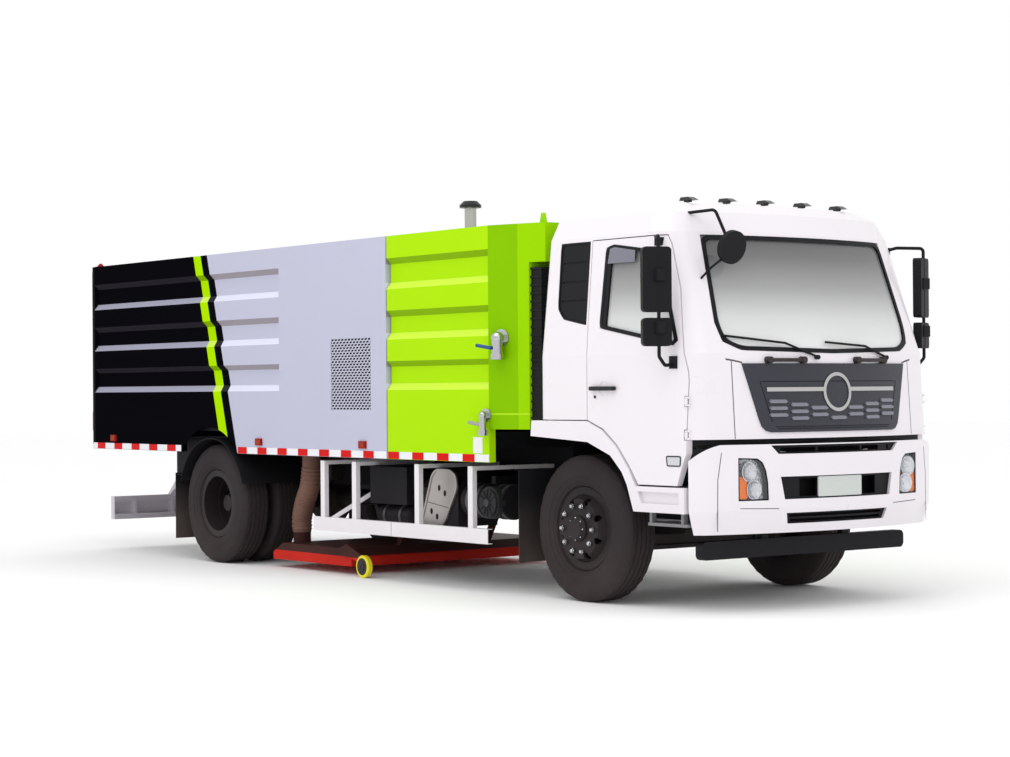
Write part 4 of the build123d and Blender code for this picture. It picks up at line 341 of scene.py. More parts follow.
dress(black_plastic, "bumper_inserts", "louvre_panels", "wipers", "front_mirror", "mirror_right",
      "mirror_left", "air_intake", "dashboard")
dress(finish("black_mudguard_rubber", (0.012, 0.012, 0.014), 0.6, mottle=0.15, grain=(120.0, 0.1), film=0.9,
             film_top=0.75, shine=0.06), "mudguards")
hose_rubber = finish("brown_hose_rubber", (0.19, 0.100, 0.075), 0.6, mottle=0.3, grain=(90.0, 0.2),
                     shine=0.2, slot="hose_rubber")
dress(hose_rubber, "suction_hoses")
chromed = finish("polished_chrome", (0.50, 0.50, 0.52), 0.14, 1.0, mottle=0.3, grain=(20.0, 0.05),
                 slot="chromed")
dress(chromed, "outlet_valves")
dress(finish("black_wheel_paint", (0.014, 0.011, 0.013), 0.42, mottle=0.3, film=0.2, shine=0.14),
      "front_rim_right", "front_rim_left", "rear_rims_right", "rear_rims_left")
tyre_rubber = finish("worn_tyre_rubber", (0.026, 0.021, 0.023), 0.75, mottle=0.3, grain=(160.0, 0.2),
                     film=0.18, film_top=1.2, shine=0.12, slot="tyre_rubber")
dress(tyre_rubber, "front_tyre_right", "front_tyre_left", "rear_tyres_right", "rear_tyres_left")

# ---- Grille plate --------------------------------------------------------------------------
# One charcoal moulding, greyer where it stands proud of its plate, with a chromed ring and
# bar in its middle.
GRILLE_CHARCOAL = (0.030, 0.031, 0.043)
SLAT_GREY = (0.060, 0.063, 0.080)
CHROME = (0.50, 0.49, 0.49)
GRILLE_BAR_Z, GRILLE_BAR_HALF = 1.506, 0.0155
GRILLE_RING_Z, RING_INSIDE, RING_OUTSIDE = 1.487, 0.1090, 0.1365
GRILLE_FOOT_Z, GRILLE_FOOT_X = 1.172, 1.440
PLATE_LIFT = 0.0175
CHROME_LIFT = 0.0145
SKIN_ARC = 3.400


def grille_colours(x, y, z):
    arch = (SKIN_ARC ** 2 - y * y).do("SQRT")
    plate = (z - GRILLE_FOOT_Z) * (-0.04 / 0.582) + (FRONT_AXLE_X + GRILLE_FOOT_X - SKIN_ARC)
    lift = x - (plate + arch)
    up_by = z - GRILLE_RING_Z
    far = (up_by * up_by + y * y).do("SQRT")
    ring = far.do("COMPARE", (RING_INSIDE + RING_OUTSIDE) / 2, (RING_OUTSIDE - RING_INSIDE) / 2)
    bright = z.do("COMPARE", GRILLE_BAR_Z, GRILLE_BAR_HALF).do("MAXIMUM", ring) * (lift > CHROME_LIFT)
    wire_up(x.tree.nodes["Principled BSDF"], Metallic=bright)
    return mixed(bright, mixed(lift > PLATE_LIFT, GRILLE_CHARCOAL, SLAT_GREY), CHROME)


dress(finish("charcoal_grille_and_chrome", grille_colours, 0.28, grain=(300.0, 0.03), shine=0.35), "grille")

# ---- Rear beam, stack, nozzle and castors --------------------------------------------------
# A galvanised beam on black brackets, a steel stack with a black rain cap, a red nozzle that
# is worn dark low down, and yellow castors with black hubs.
BEAM_SPLIT = at(-7000)
CAP_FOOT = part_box("exhaust_stack")[1][2] - 0.052
NOZZLE_DARK_Z = 0.150
CASTOR_MIDDLE = [(low + high) / 2 for low, high in zip(*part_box("nozzle_wheel_right"))]
CASTOR_RIM = 0.070
CASTOR_BLACK, CASTOR_YELLOW = (0.02, 0.02, 0.022), (0.80, 0.72, 0.02)


def split_finish(name, axis, level, below, above, roughness, metal_below=0.0, metal_above=0.0, **rest):
    """Finish that changes at a place along one axis, 0 for X, 2 for Z."""
    def colours(*place):
        past = place[axis] > level
        if metal_below != metal_above:
            metal = past * (metal_above - metal_below) + metal_below
            wire_up(past.tree.nodes["Principled BSDF"], Metallic=metal)
        return mixed(past, below, above)
    return finish(name, colours, roughness, **rest)


def castor_colours(x, y, z):
    ahead_by, up_by = x - CASTOR_MIDDLE[0], z - CASTOR_MIDDLE[2]
    return mixed((ahead_by * ahead_by + up_by * up_by).do("SQRT") > CASTOR_RIM, CASTOR_BLACK, CASTOR_YELLOW)


dress(split_finish("galvanised_rear_beam", 0, BEAM_SPLIT, (0.62, 0.58, 0.64), (0.014, 0.013, 0.016), 0.42,
                   0.35, 0.0, mottle=0.12, grain=(45.0, 0.05), shine=0.1), "underrun_beams")
dress(split_finish("steel_stack_black_cap", 2, CAP_FOOT, (0.45, 0.44, 0.43), (0.012, 0.012, 0.014), 0.32,
                   0.9, 0.0, mottle=0.12, shine=0.3), "exhaust_stack")
dress(split_finish("worn_red_nozzle", 2, NOZZLE_DARK_Z, (0.60, 0.020, 0.010), (0.055, 0.020, 0.018), 0.5,
                   mottle=0.3, grain=(60.0, 0.1), film=0.1, film_top=0.3, shine=0.05), "suction_nozzle")
dress(finish("yellow_caster_plastic", castor_colours, 0.45, mottle=0.1, grain=(150.0, 0.1), shine=0.25),
      "nozzle_wheel_right", "nozzle_wheel_left")

# ---- Lamp bodies and window glass ----------------------------------------------------------
# Red lenses on the body, black lamp bodies on the roof, silvered headlamps, and thin clear glass with a
# painted reflection whose tone runs from dark sky above to pale street below.
#             height, how light the painted reflection makes the pane there
PANE_REFLECTION_TONES = [(2.56, 0.13), (2.42, 0.19), (2.20, 0.40), (2.00, 0.72), (1.80, 0.88)]
lamp_red = finish("red_lamp_lens", (0.30, 0.010, 0.006), 0.3, mottle=0.2, shine=0.06, slot="lamp_red")
dress(lamp_red, "body_lamps")
dress(finish("black_lamp_body", (0.02, 0.02, 0.022), 0.35), "cab_roof_lamps")
dress(finish("lamp_reflector", (0.8, 0.8, 0.82), 0.12, 0.9, grain=(60.0, 0.15)), "headlamps")


def window_glass(name, tint, alpha, reflection_tones=()):
    """Thin glass; reflection_tones darken the pane by height, a painted reflection of dark sky above and
    pale street below.
    """
    material, tree, shader = blank(name)
    wire_up(shader, Base_Color=(*tint, 1.0), Roughness=0.05, Alpha=alpha)
    if reflection_tones:
        low, high = reflection_tones[-1][0], reflection_tones[0][0]
        place = add_node(tree, "ShaderNodeTexCoord").outputs["Object"]
        height = add_node(tree, "ShaderNodeSeparateXYZ", Vector=place).outputs["Z"]
        share = add_node(tree, "ShaderNodeMapRange", Value=height, From_Min=low,
                         From_Max=high).outputs["Result"]
        ramp = add_node(tree, "ShaderNodeValToRGB", first=share)
        stops = ramp.color_ramp.elements
        while len(stops) < len(reflection_tones):
            stops.new(0.5)
        for stop, (z, tone) in zip(stops, sorted(reflection_tones)):
            stop.position = (z - low) / (high - low)
            stop.color = (tone * tint[0], tone * tint[1], tone * tint[2], 1.0)
        wire_up(shader, Base_Color=ramp.outputs[0])
    return material


# Painted reflection on the windscreen and door glass, dark above and pale below.
dress(window_glass("clear_window_glass", (0.98, 1.0, 0.99), 0.84, PANE_REFLECTION_TONES), "windscreen",
      "door_glass_right", "door_glass_left")

# ---- Tyres --------------------------------------------------------------------------------
# Worn highway tyres: a ribbed tread parted by four zigzag grooves, notched shoulders, and
# side walls with moulded rings. Each is one moulding that grips its rim at the beads.
TYRE_AROUND = 144
ZIGZAG = 0.0018
ZIGZAG_STEPS = 4
GROOVE_PLACES = (-0.063, -0.021, 0.021, 0.063)
GROOVE_HALF = 0.005
GROOVE_DEPTH = 0.010
SHOULDER_NOTCH = 0.003
#              outward from the middle, below the tread radius, what it is
TYRE_WALL = [(0.0917, 0.2707, "bead"), (0.0917, 0.2290, "bead"), (0.106, 0.2230, "wall"),
             (0.117, 0.2170, "wall"), (0.1255, 0.1950, "wall"), (0.1285, 0.1930, "ring"),
             (0.1295, 0.1870, "ring"), (0.1300, 0.1850, "wall"), (0.1360, 0.1550, "wall"),
             (0.1385, 0.1530, "ring"), (0.1388, 0.1470, "ring"), (0.1380, 0.1250, "wall"),
             (0.1370, 0.0980, "wall"), (0.1350, 0.0640, "wall"), (0.1290, 0.0420, "notch"),
             (0.1200, 0.0240, "notch"), (0.1120, 0.0140, "notch"), (0.1050, 0.0060, "notch"),
             (0.0950, 0.0025, "tread")]


def settle(name, mesh, material, body, smooth=False, closed=True):
    """Put a mesh in the scene at the origin, riding on a body; a closed one is turned outwards."""
    if not mesh.materials:
        mesh.materials.append(material)
    if closed:
        work = bmesh.new()
        work.from_mesh(mesh)
        bmesh.ops.recalc_face_normals(work, faces=work.faces)
        work.to_mesh(mesh)
        work.free()
    if smooth:
        mesh.shade_smooth()
    made = bpy.data.objects.new(name, mesh)
    scene.collection.objects.link(made)
    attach(made, body)
    return made


def piece(name, shape, material, body="chassis", smooth=False, closed=True):
    vertices, faces = shape
    mesh = bpy.data.meshes.new(name)
    mesh.from_pydata(vertices, [], faces)
    return settle(name, mesh, material, body, smooth, closed)


def skinned(loops, closed=False, caps=True, first_tip=None, last_tip=None):
    """Skin over loops of points in turn; its two ends are capped, drawn to a tip, or joined when closed."""
    count = len(loops[0])
    vertices = [tuple(point) for loop in loops for point in loop]
    faces = []
    for number in range(len(loops) if closed else len(loops) - 1):
        here, there = number * count, (number + 1) % len(loops) * count
        faces += [(here + k, here + (k + 1) % count, there + (k + 1) % count, there + k)
                  for k in range(count)]
    for tip, start in ((first_tip, 0), (last_tip, (len(loops) - 1) * count)):
        if tip is not None:
            faces += [(start + k, start + (k + 1) % count, len(vertices)) for k in range(count)]
            vertices.append(tuple(tip))
        elif caps and not closed:
            faces.append(tuple(range(start, start + count)))
    return vertices, faces


def tread_profile():
    """Closed run of (outward, drop, kind) from one bead over the tread to the other."""
    tread = []
    for place in GROOVE_PLACES:
        crown = 0.002 * abs(place) / 0.1
        tread += [(place - GROOVE_HALF, crown, "edge"),
                  (place - GROOVE_HALF / 2, crown + GROOVE_DEPTH, "edge"),
                  (place + GROOVE_HALF / 2, crown + GROOVE_DEPTH, "edge"),
                  (place + GROOVE_HALF, crown, "edge")]
    return [(-out, drop, kind) for out, drop, kind in TYRE_WALL] + tread + list(reversed(TYRE_WALL))


def tyre_shape(centre, radius):
    loops = []
    for step in range(TYRE_AROUND):
        turn = 2 * pi * step / TYRE_AROUND
        phase = step % ZIGZAG_STEPS
        loop = []
        for out, drop, kind in tread_profile():
            if kind == "edge":
                out += ZIGZAG if phase in (1, 2) else -ZIGZAG
            if kind == "notch" and phase in (0, 1):
                drop += SHOULDER_NOTCH
            reach = radius - drop
            loop.append((centre[0] + reach * cos(turn), centre[1] + out, centre[2] + reach * sin(turn)))
        loops.append(loop)
    return skinned(loops, closed=True)


for node, body in (("front_tyre_right", "front_right_wheel"), ("front_tyre_left", "front_left_wheel"),
                   ("rear_tyres_right", "rear_right_wheels"), ("rear_tyres_left", "rear_left_wheels")):
    low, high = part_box(node)
    width = wheel_high[1] - wheel_low[1]
    places = [low[1] + width / 2]
    if high[1] - low[1] > 1.5 * width:
        places.append(high[1] - width / 2)
    vertices, faces = [], []
    for place in places:
        centre = ((low[0] + high[0]) / 2, place, (low[2] + high[2]) / 2)
        more, rings = tyre_shape(centre, (high[2] - low[2]) / 2)
        faces += [tuple(corner + len(vertices) for corner in face) for face in rings]
        vertices += more
    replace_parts(piece(node + "_moulded", (vertices, faces), tyre_rubber, body), node)

# ---- Wheel nuts ----------------------------------------------------------------------------
# Ten chromed cap nuts on each bolting face, over the plain studs, and eight small bolts round
# the cap of each front hub. A ring of copies is grown from one hexagon nut.
SIDES = ((-1, "right"), (1, "left"))
#            radius, length
NUT = (0.0205, 0.036)
HUB_BOLT = (0.0085, 0.014)
#                name, tyre, body, shape, how many, circle, outward from the tyre's middle
BOLT_RINGS = [("front_wheel_nuts_", "front_tyre_", "front_{}_wheel", NUT, 10, 0.1675, 0.160),
              ("front_hub_bolts_", "front_tyre_", "front_{}_wheel", HUB_BOLT, 8, 0.076, 0.183),
              ("rear_wheel_nuts_", "rear_tyres_", "rear_{}_wheels", NUT, 10, 0.1675, 0.014)]


def new_tree(name, **kinds):
    """Geometry Nodes tree with named inputs: a seed shape, those given with their kinds, a material."""
    tree = bpy.data.node_groups.new(name, "GeometryNodeTree")
    kinds = {"Geometry": "Geometry", **kinds, "Finish": "Material"}
    for label, kind in kinds.items():
        tree.interface.new_socket(label.replace("_", " "), in_out="INPUT", socket_type="NodeSocket" + kind)
    tree.interface.new_socket("Geometry", in_out="OUTPUT", socket_type="NodeSocketGeometry")
    inputs = tree.nodes.new("NodeGroupInput").outputs
    given = {label: Wire(tree, inputs[label.replace("_", " ")]) for label in kinds}
    return tree, given, Wire(tree, tree.nodes.new("GeometryNodeInputIndex").outputs[0])


def finish_tree(tree, given, shape):
    real = add_node(tree, "GeometryNodeRealizeInstances", Geometry=shape.outputs[0])
    dressed = add_node(tree, "GeometryNodeSetMaterial", Geometry=real.outputs[0], Material=given["Finish"])
    add_node(tree, "NodeGroupOutput", Geometry=dressed.outputs[0])
    return tree


def copied(tree, given, count, place, turn=(0, 0, 0), offset=(0, 0, 0)):
    """Stand the seed shape at each place, turned, and close the tree."""
    spots = add_node(tree, "GeometryNodePoints", Count=count)
    moved = add_node(tree, "GeometryNodeSetPosition", Geometry=spots.outputs[0], Position=place,
                     Offset=offset)
    stood = add_node(tree, "GeometryNodeInstanceOnPoints", Points=moved.outputs[0],
                     Instance=given["Geometry"], Rotation=turn)
    return finish_tree(tree, given, stood)


def copies_in_ring():
    """Tree that copies a piece round a circle about the Y axis, turning each copy with it."""
    tree, given, index = new_tree("copies_in_ring", Count="Int", Radius="Float", Centre="Vector")
    angle = index * (2 * pi) / given["Count"]
    arm = add_node(tree, "ShaderNodeCombineXYZ", X=angle.do("COSINE") * given["Radius"],
                   Z=angle.do("SINE") * given["Radius"])
    turn = add_node(tree, "ShaderNodeCombineXYZ", Y=angle * -1.0)
    return copied(tree, given, given["Count"], arm.outputs[0], turn.outputs[0], given["Centre"])


def grow(name, shape, tree, body="chassis", edges=(), closed=True, **values):
    """Run a tree on one small mesh and keep the result as a plain piece."""
    seed = bpy.data.meshes.new(name)
    seed.from_pydata(shape[0], edges, shape[1])
    sprout = bpy.data.objects.new(name, seed)
    scene.collection.objects.link(sprout)
    modifier = sprout.modifiers.new("growth", "NODES")
    modifier.node_group = tree
    for item in tree.interface.items_tree:
        key = item.name.replace(" ", "_")
        if item.in_out == "INPUT" and key in values:
            modifier[item.identifier] = values[key]
    grown = bpy.data.meshes.new_from_object(sprout.evaluated_get(bpy.context.evaluated_depsgraph_get()))
    bpy.data.objects.remove(sprout)
    return settle(name, grown, values["Finish"], body, closed=closed)


def circle(count, radius, middle=(0.0, 0.0), tall=None):
    """Points of a circle, or of an upright oval when tall is given."""
    turns = [2 * pi * k / count for k in range(count)]
    return [(middle[0] + radius * cos(turn), middle[1] + (tall or radius) * sin(turn)) for turn in turns]


def cap_nut(side, radius, length):
    """Hexagon nut with a domed top, its foot at the origin, pointing out along side times Y."""
    rings = [(1.0, 0.0), (1.0, 0.62), (0.86, 0.72), (0.6, 0.92)]
    loops = [[(x, side * out * length, z) for x, z in circle(6, radius * reach)] for reach, out in rings]
    return skinned(loops, last_tip=(0, side * length, 0))


ring_tree = copies_in_ring()
for side, hand in SIDES:
    for name, tyre, body, size, count, reach, out in BOLT_RINGS:
        x, y, z = [(low + high) / 2 for low, high in zip(*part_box(tyre + hand))]
        grow(name + hand, cap_nut(side, *size), ring_tree, body.format(hand), Count=count, Radius=reach,
             Centre=(x, y + side * out, z), Finish=chromed)

# ---- Reflective tape -----------------------------------------------------------------------
# White reflective tape with red tiles, stuck along the bottom edge of both body sides, from
# the rear corner to the arch and from the arch to the front of the fixed bay.
RED_SHARE = 0.46
TAPE_LOW = BODY_BOTTOM + 0.002
TAPE_HEIGHT = 0.056
TAPE_THICK = 0.0010
#          body, from, to, tiles, where the red starts in its share
TAPE_RUNS = [("tank", at(-7286), at(-5558), 5, 0.25), ("tank", at(-4547), at(-2256), 7, 0.0),
             ("chassis", at(-2230), at(-910), 4, 0.0)]


def prism(outline, start, end, along=1):
    """Closed prism of a flat outline; along names the axis it runs on, 0 for X, 1 for Y, 2 for Z."""
    outline = [tuple(point) for point in outline]
    return skinned([[(*point[:along], level, *point[along:]) for point in outline]
                    for level in (start, end)])


def copies_in_rows():
    """Tree that copies a piece over columns and rows; every other row is shifted."""
    steps = {"Start": "Vector", "Column_Step": "Vector", "Row_Step": "Vector", "Row_Shift": "Vector"}
    tree, given, index = new_tree("copies_in_rows", Columns="Int", Rows="Int", **steps)
    column = index.do("MODULO", given["Columns"])
    row = ((index + 0.01) / given["Columns"]).do("FLOOR")
    spot = given["Start"]
    for step, times in (("Column_Step", column), ("Row_Step", row), ("Row_Shift", row.do("MODULO", 2.0))):
        spot = add_node(tree, "ShaderNodeVectorMath", {"operation": "MULTIPLY_ADD"}, first=given[step],
                        second=times, third=spot).outputs[0]
    return copied(tree, given, given["Columns"] * given["Rows"], spot)


tape_red = finish("red_reflective_tape", (0.64, 0.006, 0.006), 0.35, mottle=0.06, grain=(900.0, 0.05),
                  shine=0.05, slot="lamp_red")
tape_white = finish("white_reflective_tape", (0.80, 0.80, 0.84), 0.35, mottle=0.04, grain=(900.0, 0.05),
                    shine=0.2, slot="white_paint")
rows_tree = copies_in_rows()
for side, hand in SIDES:
    wall = side * HALF_BODY
    for number, (body, start, end, count, offset) in enumerate(TAPE_RUNS):
        pitch = (end - start) / count
        strip = oblong(start, TAPE_LOW, end, TAPE_LOW + TAPE_HEIGHT)
        piece(f"tape_white_{hand}_{number}", prism(strip, wall, wall + side * TAPE_THICK), tape_white, body)
        tile = prism(oblong(0, 0, pitch * RED_SHARE, TAPE_HEIGHT), wall, wall + side * TAPE_THICK * 2)
        grow(f"tape_red_{hand}_{number}", tile, rows_tree, body, Columns=count, Rows=1,
             Start=(start + offset * pitch, 0, TAPE_LOW), Column_Step=(pitch, 0, 0), Finish=tape_red)

# ---- Perforated sheet ----------------------------------------------------------------------
# A grey sheet with slanted slots punched in staggered rows, let into the flat part of the tank side over a
# black backing, painted shade seen through the slots.
SHEET_X = (at(-3055), at(-2472))
SHEET_Z = (1.363, 1.943)
SLOT_COLUMNS, SLOT_ROWS = 12, 26
SLOT_LENGTH, SLOT_HEIGHT, SLOT_SLANT = 0.033, 0.0148, 0.010
SHEET_SINK, SHEET_THICK = 0.004, 0.002
BACKING_SINK = (0.0118, 0.0105)


def slotted_cell(width, height, thick):
    """One tile of sheet with a slanted slot punched through it; its face looks away from the thickness."""
    across, up = width / 2, height / 2
    outer = [(-across, -up), (0, -up), (across, -up), (across, up), (0, up), (-across, up)]
    long, tall, slant = SLOT_LENGTH / 2, SLOT_HEIGHT / 2, SLOT_SLANT / 2
    inner = [(-long - slant, -tall), (0, -tall), (long - slant, -tall), (long + slant, tall), (0, tall),
             (-long + slant, tall)]
    loops = [[(x, level, z) for x, z in loop]
             for loop, level in ((outer, 0.0), (inner, 0.0), (inner, thick))]
    if thick < 0:
        loops = [loop[::-1] for loop in loops]
    return skinned(loops, caps=False)


# Black backing: painted shade behind the punched slots and the bumper's openings.
shade_backing = finish("black_backing", (0.004, 0.004, 0.005), 0.7, shine=0.1)
sheet_grey = finish("grey_punched_sheet", PANEL_GREY, 0.36, mottle=0.02, shine=0.25, slot="tank_paint")
cell_width = (SHEET_X[1] - SHEET_X[0]) / SLOT_COLUMNS
cell_height = (SHEET_Z[1] - SHEET_Z[0]) / SLOT_ROWS
for side, hand in SIDES:
    grow("punched_sheet_" + hand, slotted_cell(cell_width, cell_height, -side * SHEET_THICK), rows_tree,
         "tank", closed=False, Columns=SLOT_COLUMNS + 1, Rows=SLOT_ROWS, Column_Step=(cell_width, 0, 0),
         Start=(SHEET_X[0], side * (HALF_BODY - SHEET_SINK), SHEET_Z[0] + cell_height / 2),
         Row_Step=(0, 0, cell_height), Row_Shift=(cell_width / 2, 0, 0), Finish=sheet_grey)
    levels = [side * (HALF_BODY - sink) for sink in BACKING_SINK]
    backing = oblong(SHEET_X[0], SHEET_Z[0], SHEET_X[1], SHEET_Z[1])
    piece("sheet_backing_" + hand, prism(backing, *levels), shade_backing, "tank")

# ---- Window surrounds and glass seals ------------------------------------------------------
# The cab's skin is a row of arched and rounded plan outlines. Black rubber and printed bands
# lie round each opening, flush with that skin, and hold the bonded or sliding glass.
#           height, front at the middle, half width
SKIN_ROWS = [(0.860, 1.440, 1.185), (1.172, 1.440, 1.185), (1.754, 1.400, 1.185), (2.590, 1.110, 1.130),
             (2.730, 1.030, 1.080)]
SKIN_CORNER = 0.220
WINDSCREEN_YZ = [(-0.905, 1.830), (-0.780, 1.772), (0.0, 1.752), (0.780, 1.772), (0.905, 1.830),
                 (0.930, 1.960), (0.876, 2.568), (-0.876, 2.568), (-0.930, 1.960)]
SIDE_WINDOW_XZ = [(0.325, 2.505), (0.405, 2.525), (0.862, 2.462), (0.905, 2.390), (1.092, 1.840),
                  (1.060, 1.806), (0.284, 1.943)]
LOUVRE_XZ = [(-0.180, 2.560), (0.150, 2.560), (0.136, 1.968), (-0.120, 2.015), (-0.188, 2.090)]
REAR_BAR_XZ = [(0.296, 1.955), (0.352, 1.946), (0.392, 2.500), (0.335, 2.494)]
VISOR_XZ = [(0.352, 2.392), (0.372, 2.495), (0.420, 2.505), (0.640, 2.472), (0.640, 2.392)]


def skin_row(z):
    """Front centre and half width of the cab's outer skin at a height."""
    z = min(max(z, SKIN_ROWS[0][0]), SKIN_ROWS[-1][0])
    for (low, front, half), (high, front_up, half_up) in zip(SKIN_ROWS, SKIN_ROWS[1:]):
        if z <= high:
            share = (z - low) / (high - low)
            return front + (front_up - front) * share, half + (half_up - half) * share
    return SKIN_ROWS[-1][1:]


def on_front(side=1, front=None):
    """The cab's arched front, or one that is upright when front is given, as a function of Y and Z."""
    def point(y, z, lift):
        middle = front or skin_row(z)[0]
        reach = middle - SKIN_ARC + (SKIN_ARC ** 2 - y * y) ** 0.5
        return Vector((FRONT_AXLE_X + reach + lift, side * y, z))
    return point


def on_side(side):
    """Surface of one cab side, as a function of the place along X from the front axle and Z."""
    def point(x, z, lift):
        front, half = skin_row(z)
        arc = SKIN_ARC - SKIN_CORNER
        middle = front - SKIN_ARC + (arc ** 2 - (half - SKIN_CORNER) ** 2) ** 0.5
        if x <= middle:
            return Vector((FRONT_AXLE_X + x, side * (half + lift), z))
        turn = min((x - middle) / SKIN_CORNER, 0.98)
        reach = SKIN_CORNER + lift
        out = half - SKIN_CORNER + reach * (1 - turn ** 2) ** 0.5
        return Vector((FRONT_AXLE_X + middle + reach * turn, side * out, z))
    return point


def rounded(outline, radius, steps=5):
    """Closed outline with its corners turned into arcs."""
    arcs = []
    for index, corner in enumerate(outline):
        here = Vector(corner)
        back, on = Vector(outline[index - 1]) - here, Vector(outline[(index + 1) % len(outline)]) - here
        reach = min(radius, back.length * 0.45, on.length * 0.45)
        start, end = here + back.normalized() * reach, here + on.normalized() * reach
        for step in range(steps + 1):
            share = step / steps
            arcs.append((1 - share) ** 2 * start + 2 * share * (1 - share) * here + share ** 2 * end)
    return arcs


def inset(outline, distance):
    """Closed outline moved inwards, or outwards for a negative distance."""
    count = len(outline)
    turning = sum(outline[k - 1][0] * outline[k][1] - outline[k][0] * outline[k - 1][1]
                  for k in range(count))
    hand = 1 if turning > 0 else -1
    moved = []
    for k in range(count):
        here = Vector(outline[k])
        into = (here - Vector(outline[k - 1])).normalized()
        out = (Vector(outline[(k + 1) % count]) - here).normalized()
        normal = Vector((-into.y, into.x)) * hand
        both = (normal + Vector((-out.y, out.x)) * hand).normalized()
        moved.append(here + both * (distance / max(both.dot(normal), 0.35)))
    return moved


def parted(loops, longest=0.07):
    """Part the sides of loops that run side by side, each at the same places."""
    done = [[] for _ in loops]
    count = len(loops[0])
    for k in range(count):
        parts = max(1, floor((loops[0][(k + 1) % count] - loops[0][k]).length / longest + 0.999))
        for step in range(parts):
            for loop, out in zip(loops, done):
                out.append(loop[k].lerp(loop[(k + 1) % count], step / parts))
    return done


def band(name, outline, width, surface, levels, material, body="chassis", corner=0.05):
    """Closed band along an outline, as wide as width inwards, between two levels off a surface."""
    outer, inner = parted([rounded(outline, corner),
                           rounded(inset(outline, width), max(corner - width, 0.004))])
    low, high = levels
    edges = ((outer, low), (outer, high), (inner, high), (inner, low))
    loops = [[surface(u, v, lift) for u, v in loop] for loop, lift in edges]
    return piece(name, skinned(loops, closed=True), material, body)


def sheet_on(name, outline, surface, levels, material, body="chassis", corner=0.0, rings=1):
    """Closed plate of a convex outline that follows a surface, between two levels off it."""
    edge = rounded(outline, corner) if corner else [Vector(point) for point in outline]
    edge, = parted([edge])
    middle = Vector([sum(axis) / len(edge) for axis in zip(*edge)])
    low, high = levels
    steps = [(low, ring) for ring in reversed(range(rings))] + [(high, ring) for ring in range(rings)]
    loops = [[surface(*point.lerp(middle, ring / rings), lift) for point in edge] for lift, ring in steps]
    shape = skinned(loops, first_tip=surface(*middle, low), last_tip=surface(*middle, high))
    return piece(name, shape, material, body)


seal_rubber = finish("black_seal_rubber", (0.008, 0.008, 0.010), 0.5, shine=0.15)
visor_tint = finish("smoked_rain_visor", (0.16, 0.16, 0.21), 0.15, coat=0.4, mottle=0.02,
                    slot="window_glass")
band("windscreen_surround", WINDSCREEN_YZ, 0.030, on_front(), (-0.016, 0.003), seal_rubber, "cab", 0.09)
for side, hand in SIDES:
    skin, door = on_side(side), hand + "_door"
    band("side_window_seal_" + hand, SIDE_WINDOW_XZ, 0.026, skin, (-0.016, 0.004), seal_rubber, door)
    sheet_on("window_rear_bar_" + hand, REAR_BAR_XZ, skin, (-0.013, 0.002), seal_rubber, door, rings=2)
    sheet_on("rain_visor_" + hand, VISOR_XZ, skin, (0.004, 0.008), visor_tint, door)
    band("louvre_seal_" + hand, LOUVRE_XZ, 0.012, skin, (-0.010, 0.002), seal_rubber, "cab")

# ---- Headlamps -----------------------------------------------------------------------------
# Clear moulded covers flush with the bumper over a silvered housing, with a main and a
# dipped reflector one above the other and an amber indicator in the lower outer corner.
BUMPER_FRONT = 1.475
HEADLAMP_YZ = [(0.640, 0.758), (0.645, 0.880), (0.660, 0.960), (0.686, 1.015), (0.726, 1.042),
               (0.872, 1.048), (0.872, 0.758)]
#                 across, height, radius
REFLECTORS = [(0.778, 0.952, 0.066), (0.742, 0.832, 0.066)]
INDICATOR_YZ = [(0.792, 0.768), (0.802, 0.905), (0.864, 0.930), (0.864, 0.768)]


def dish(name, middle, radius, depth, material, body="chassis", around=32, rings=7):
    """Shallow bowl that opens forwards, with a bulb stub in its middle."""
    profile = [(radius * 1.06, 0.002), (radius, 0.004)]
    profile += [(radius * (1 - k / rings), -depth * (1 - (1 - k / rings) ** 2)) for k in range(1, rings)]
    profile += [(radius * 0.13, -depth * 0.98), (radius * 0.13, -depth * 0.3),
                (radius * 0.05, -depth * 0.2)]
    loops = [[(middle.x + ahead_by, *spot) for spot in circle(around, reach, middle.yz)]
             for reach, ahead_by in profile]
    tip = (middle.x + profile[-1][1], middle.y, middle.z)
    return piece(name, skinned(loops, caps=False, last_tip=tip), material, body, smooth=True, closed=False)


silvered = finish("silvered_reflector", (0.62, 0.63, 0.67), 0.12, 0.95, mottle=0.4, grain=(55.0, 0.9),
                  slot="lamp_clear")
amber_lens = finish("amber_lamp_lens", (0.86, 0.17, 0.0), 0.3, mottle=0.25, grain=(110.0, 0.6), shine=0.1,
                    slot="lamp_amber")
lamp_cover = window_glass("clear_lamp_cover", (0.9, 0.92, 0.95), 0.04)
wire_up(lamp_cover.node_tree.nodes["Principled BSDF"], Specular_IOR_Level=0.15)
cover_outline = inset(HEADLAMP_YZ, 0.002)
for side, hand in SIDES:
    skin = on_front(side, BUMPER_FRONT)
    housing = sheet_on("headlamp_housing_" + hand, cover_outline, skin, (-0.080, -0.050), silvered, rings=3)
    sheet_on("headlamp_cover_" + hand, cover_outline, skin, (-0.008, -0.003), lamp_cover, rings=3)
    band("headlamp_rim_" + hand, HEADLAMP_YZ, 0.009, skin, (-0.046, -0.002), seal_rubber, corner=0.01)
    sheet_on("indicator_" + hand, INDICATOR_YZ, skin, (-0.046, -0.012), amber_lens, corner=0.03, rings=2)
    for number, (across, height, radius) in enumerate(REFLECTORS):
        dish(f"reflector_{hand}_{number}", skin(across, height, -0.016), radius, 0.030, silvered)
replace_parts(housing, "headlamps")

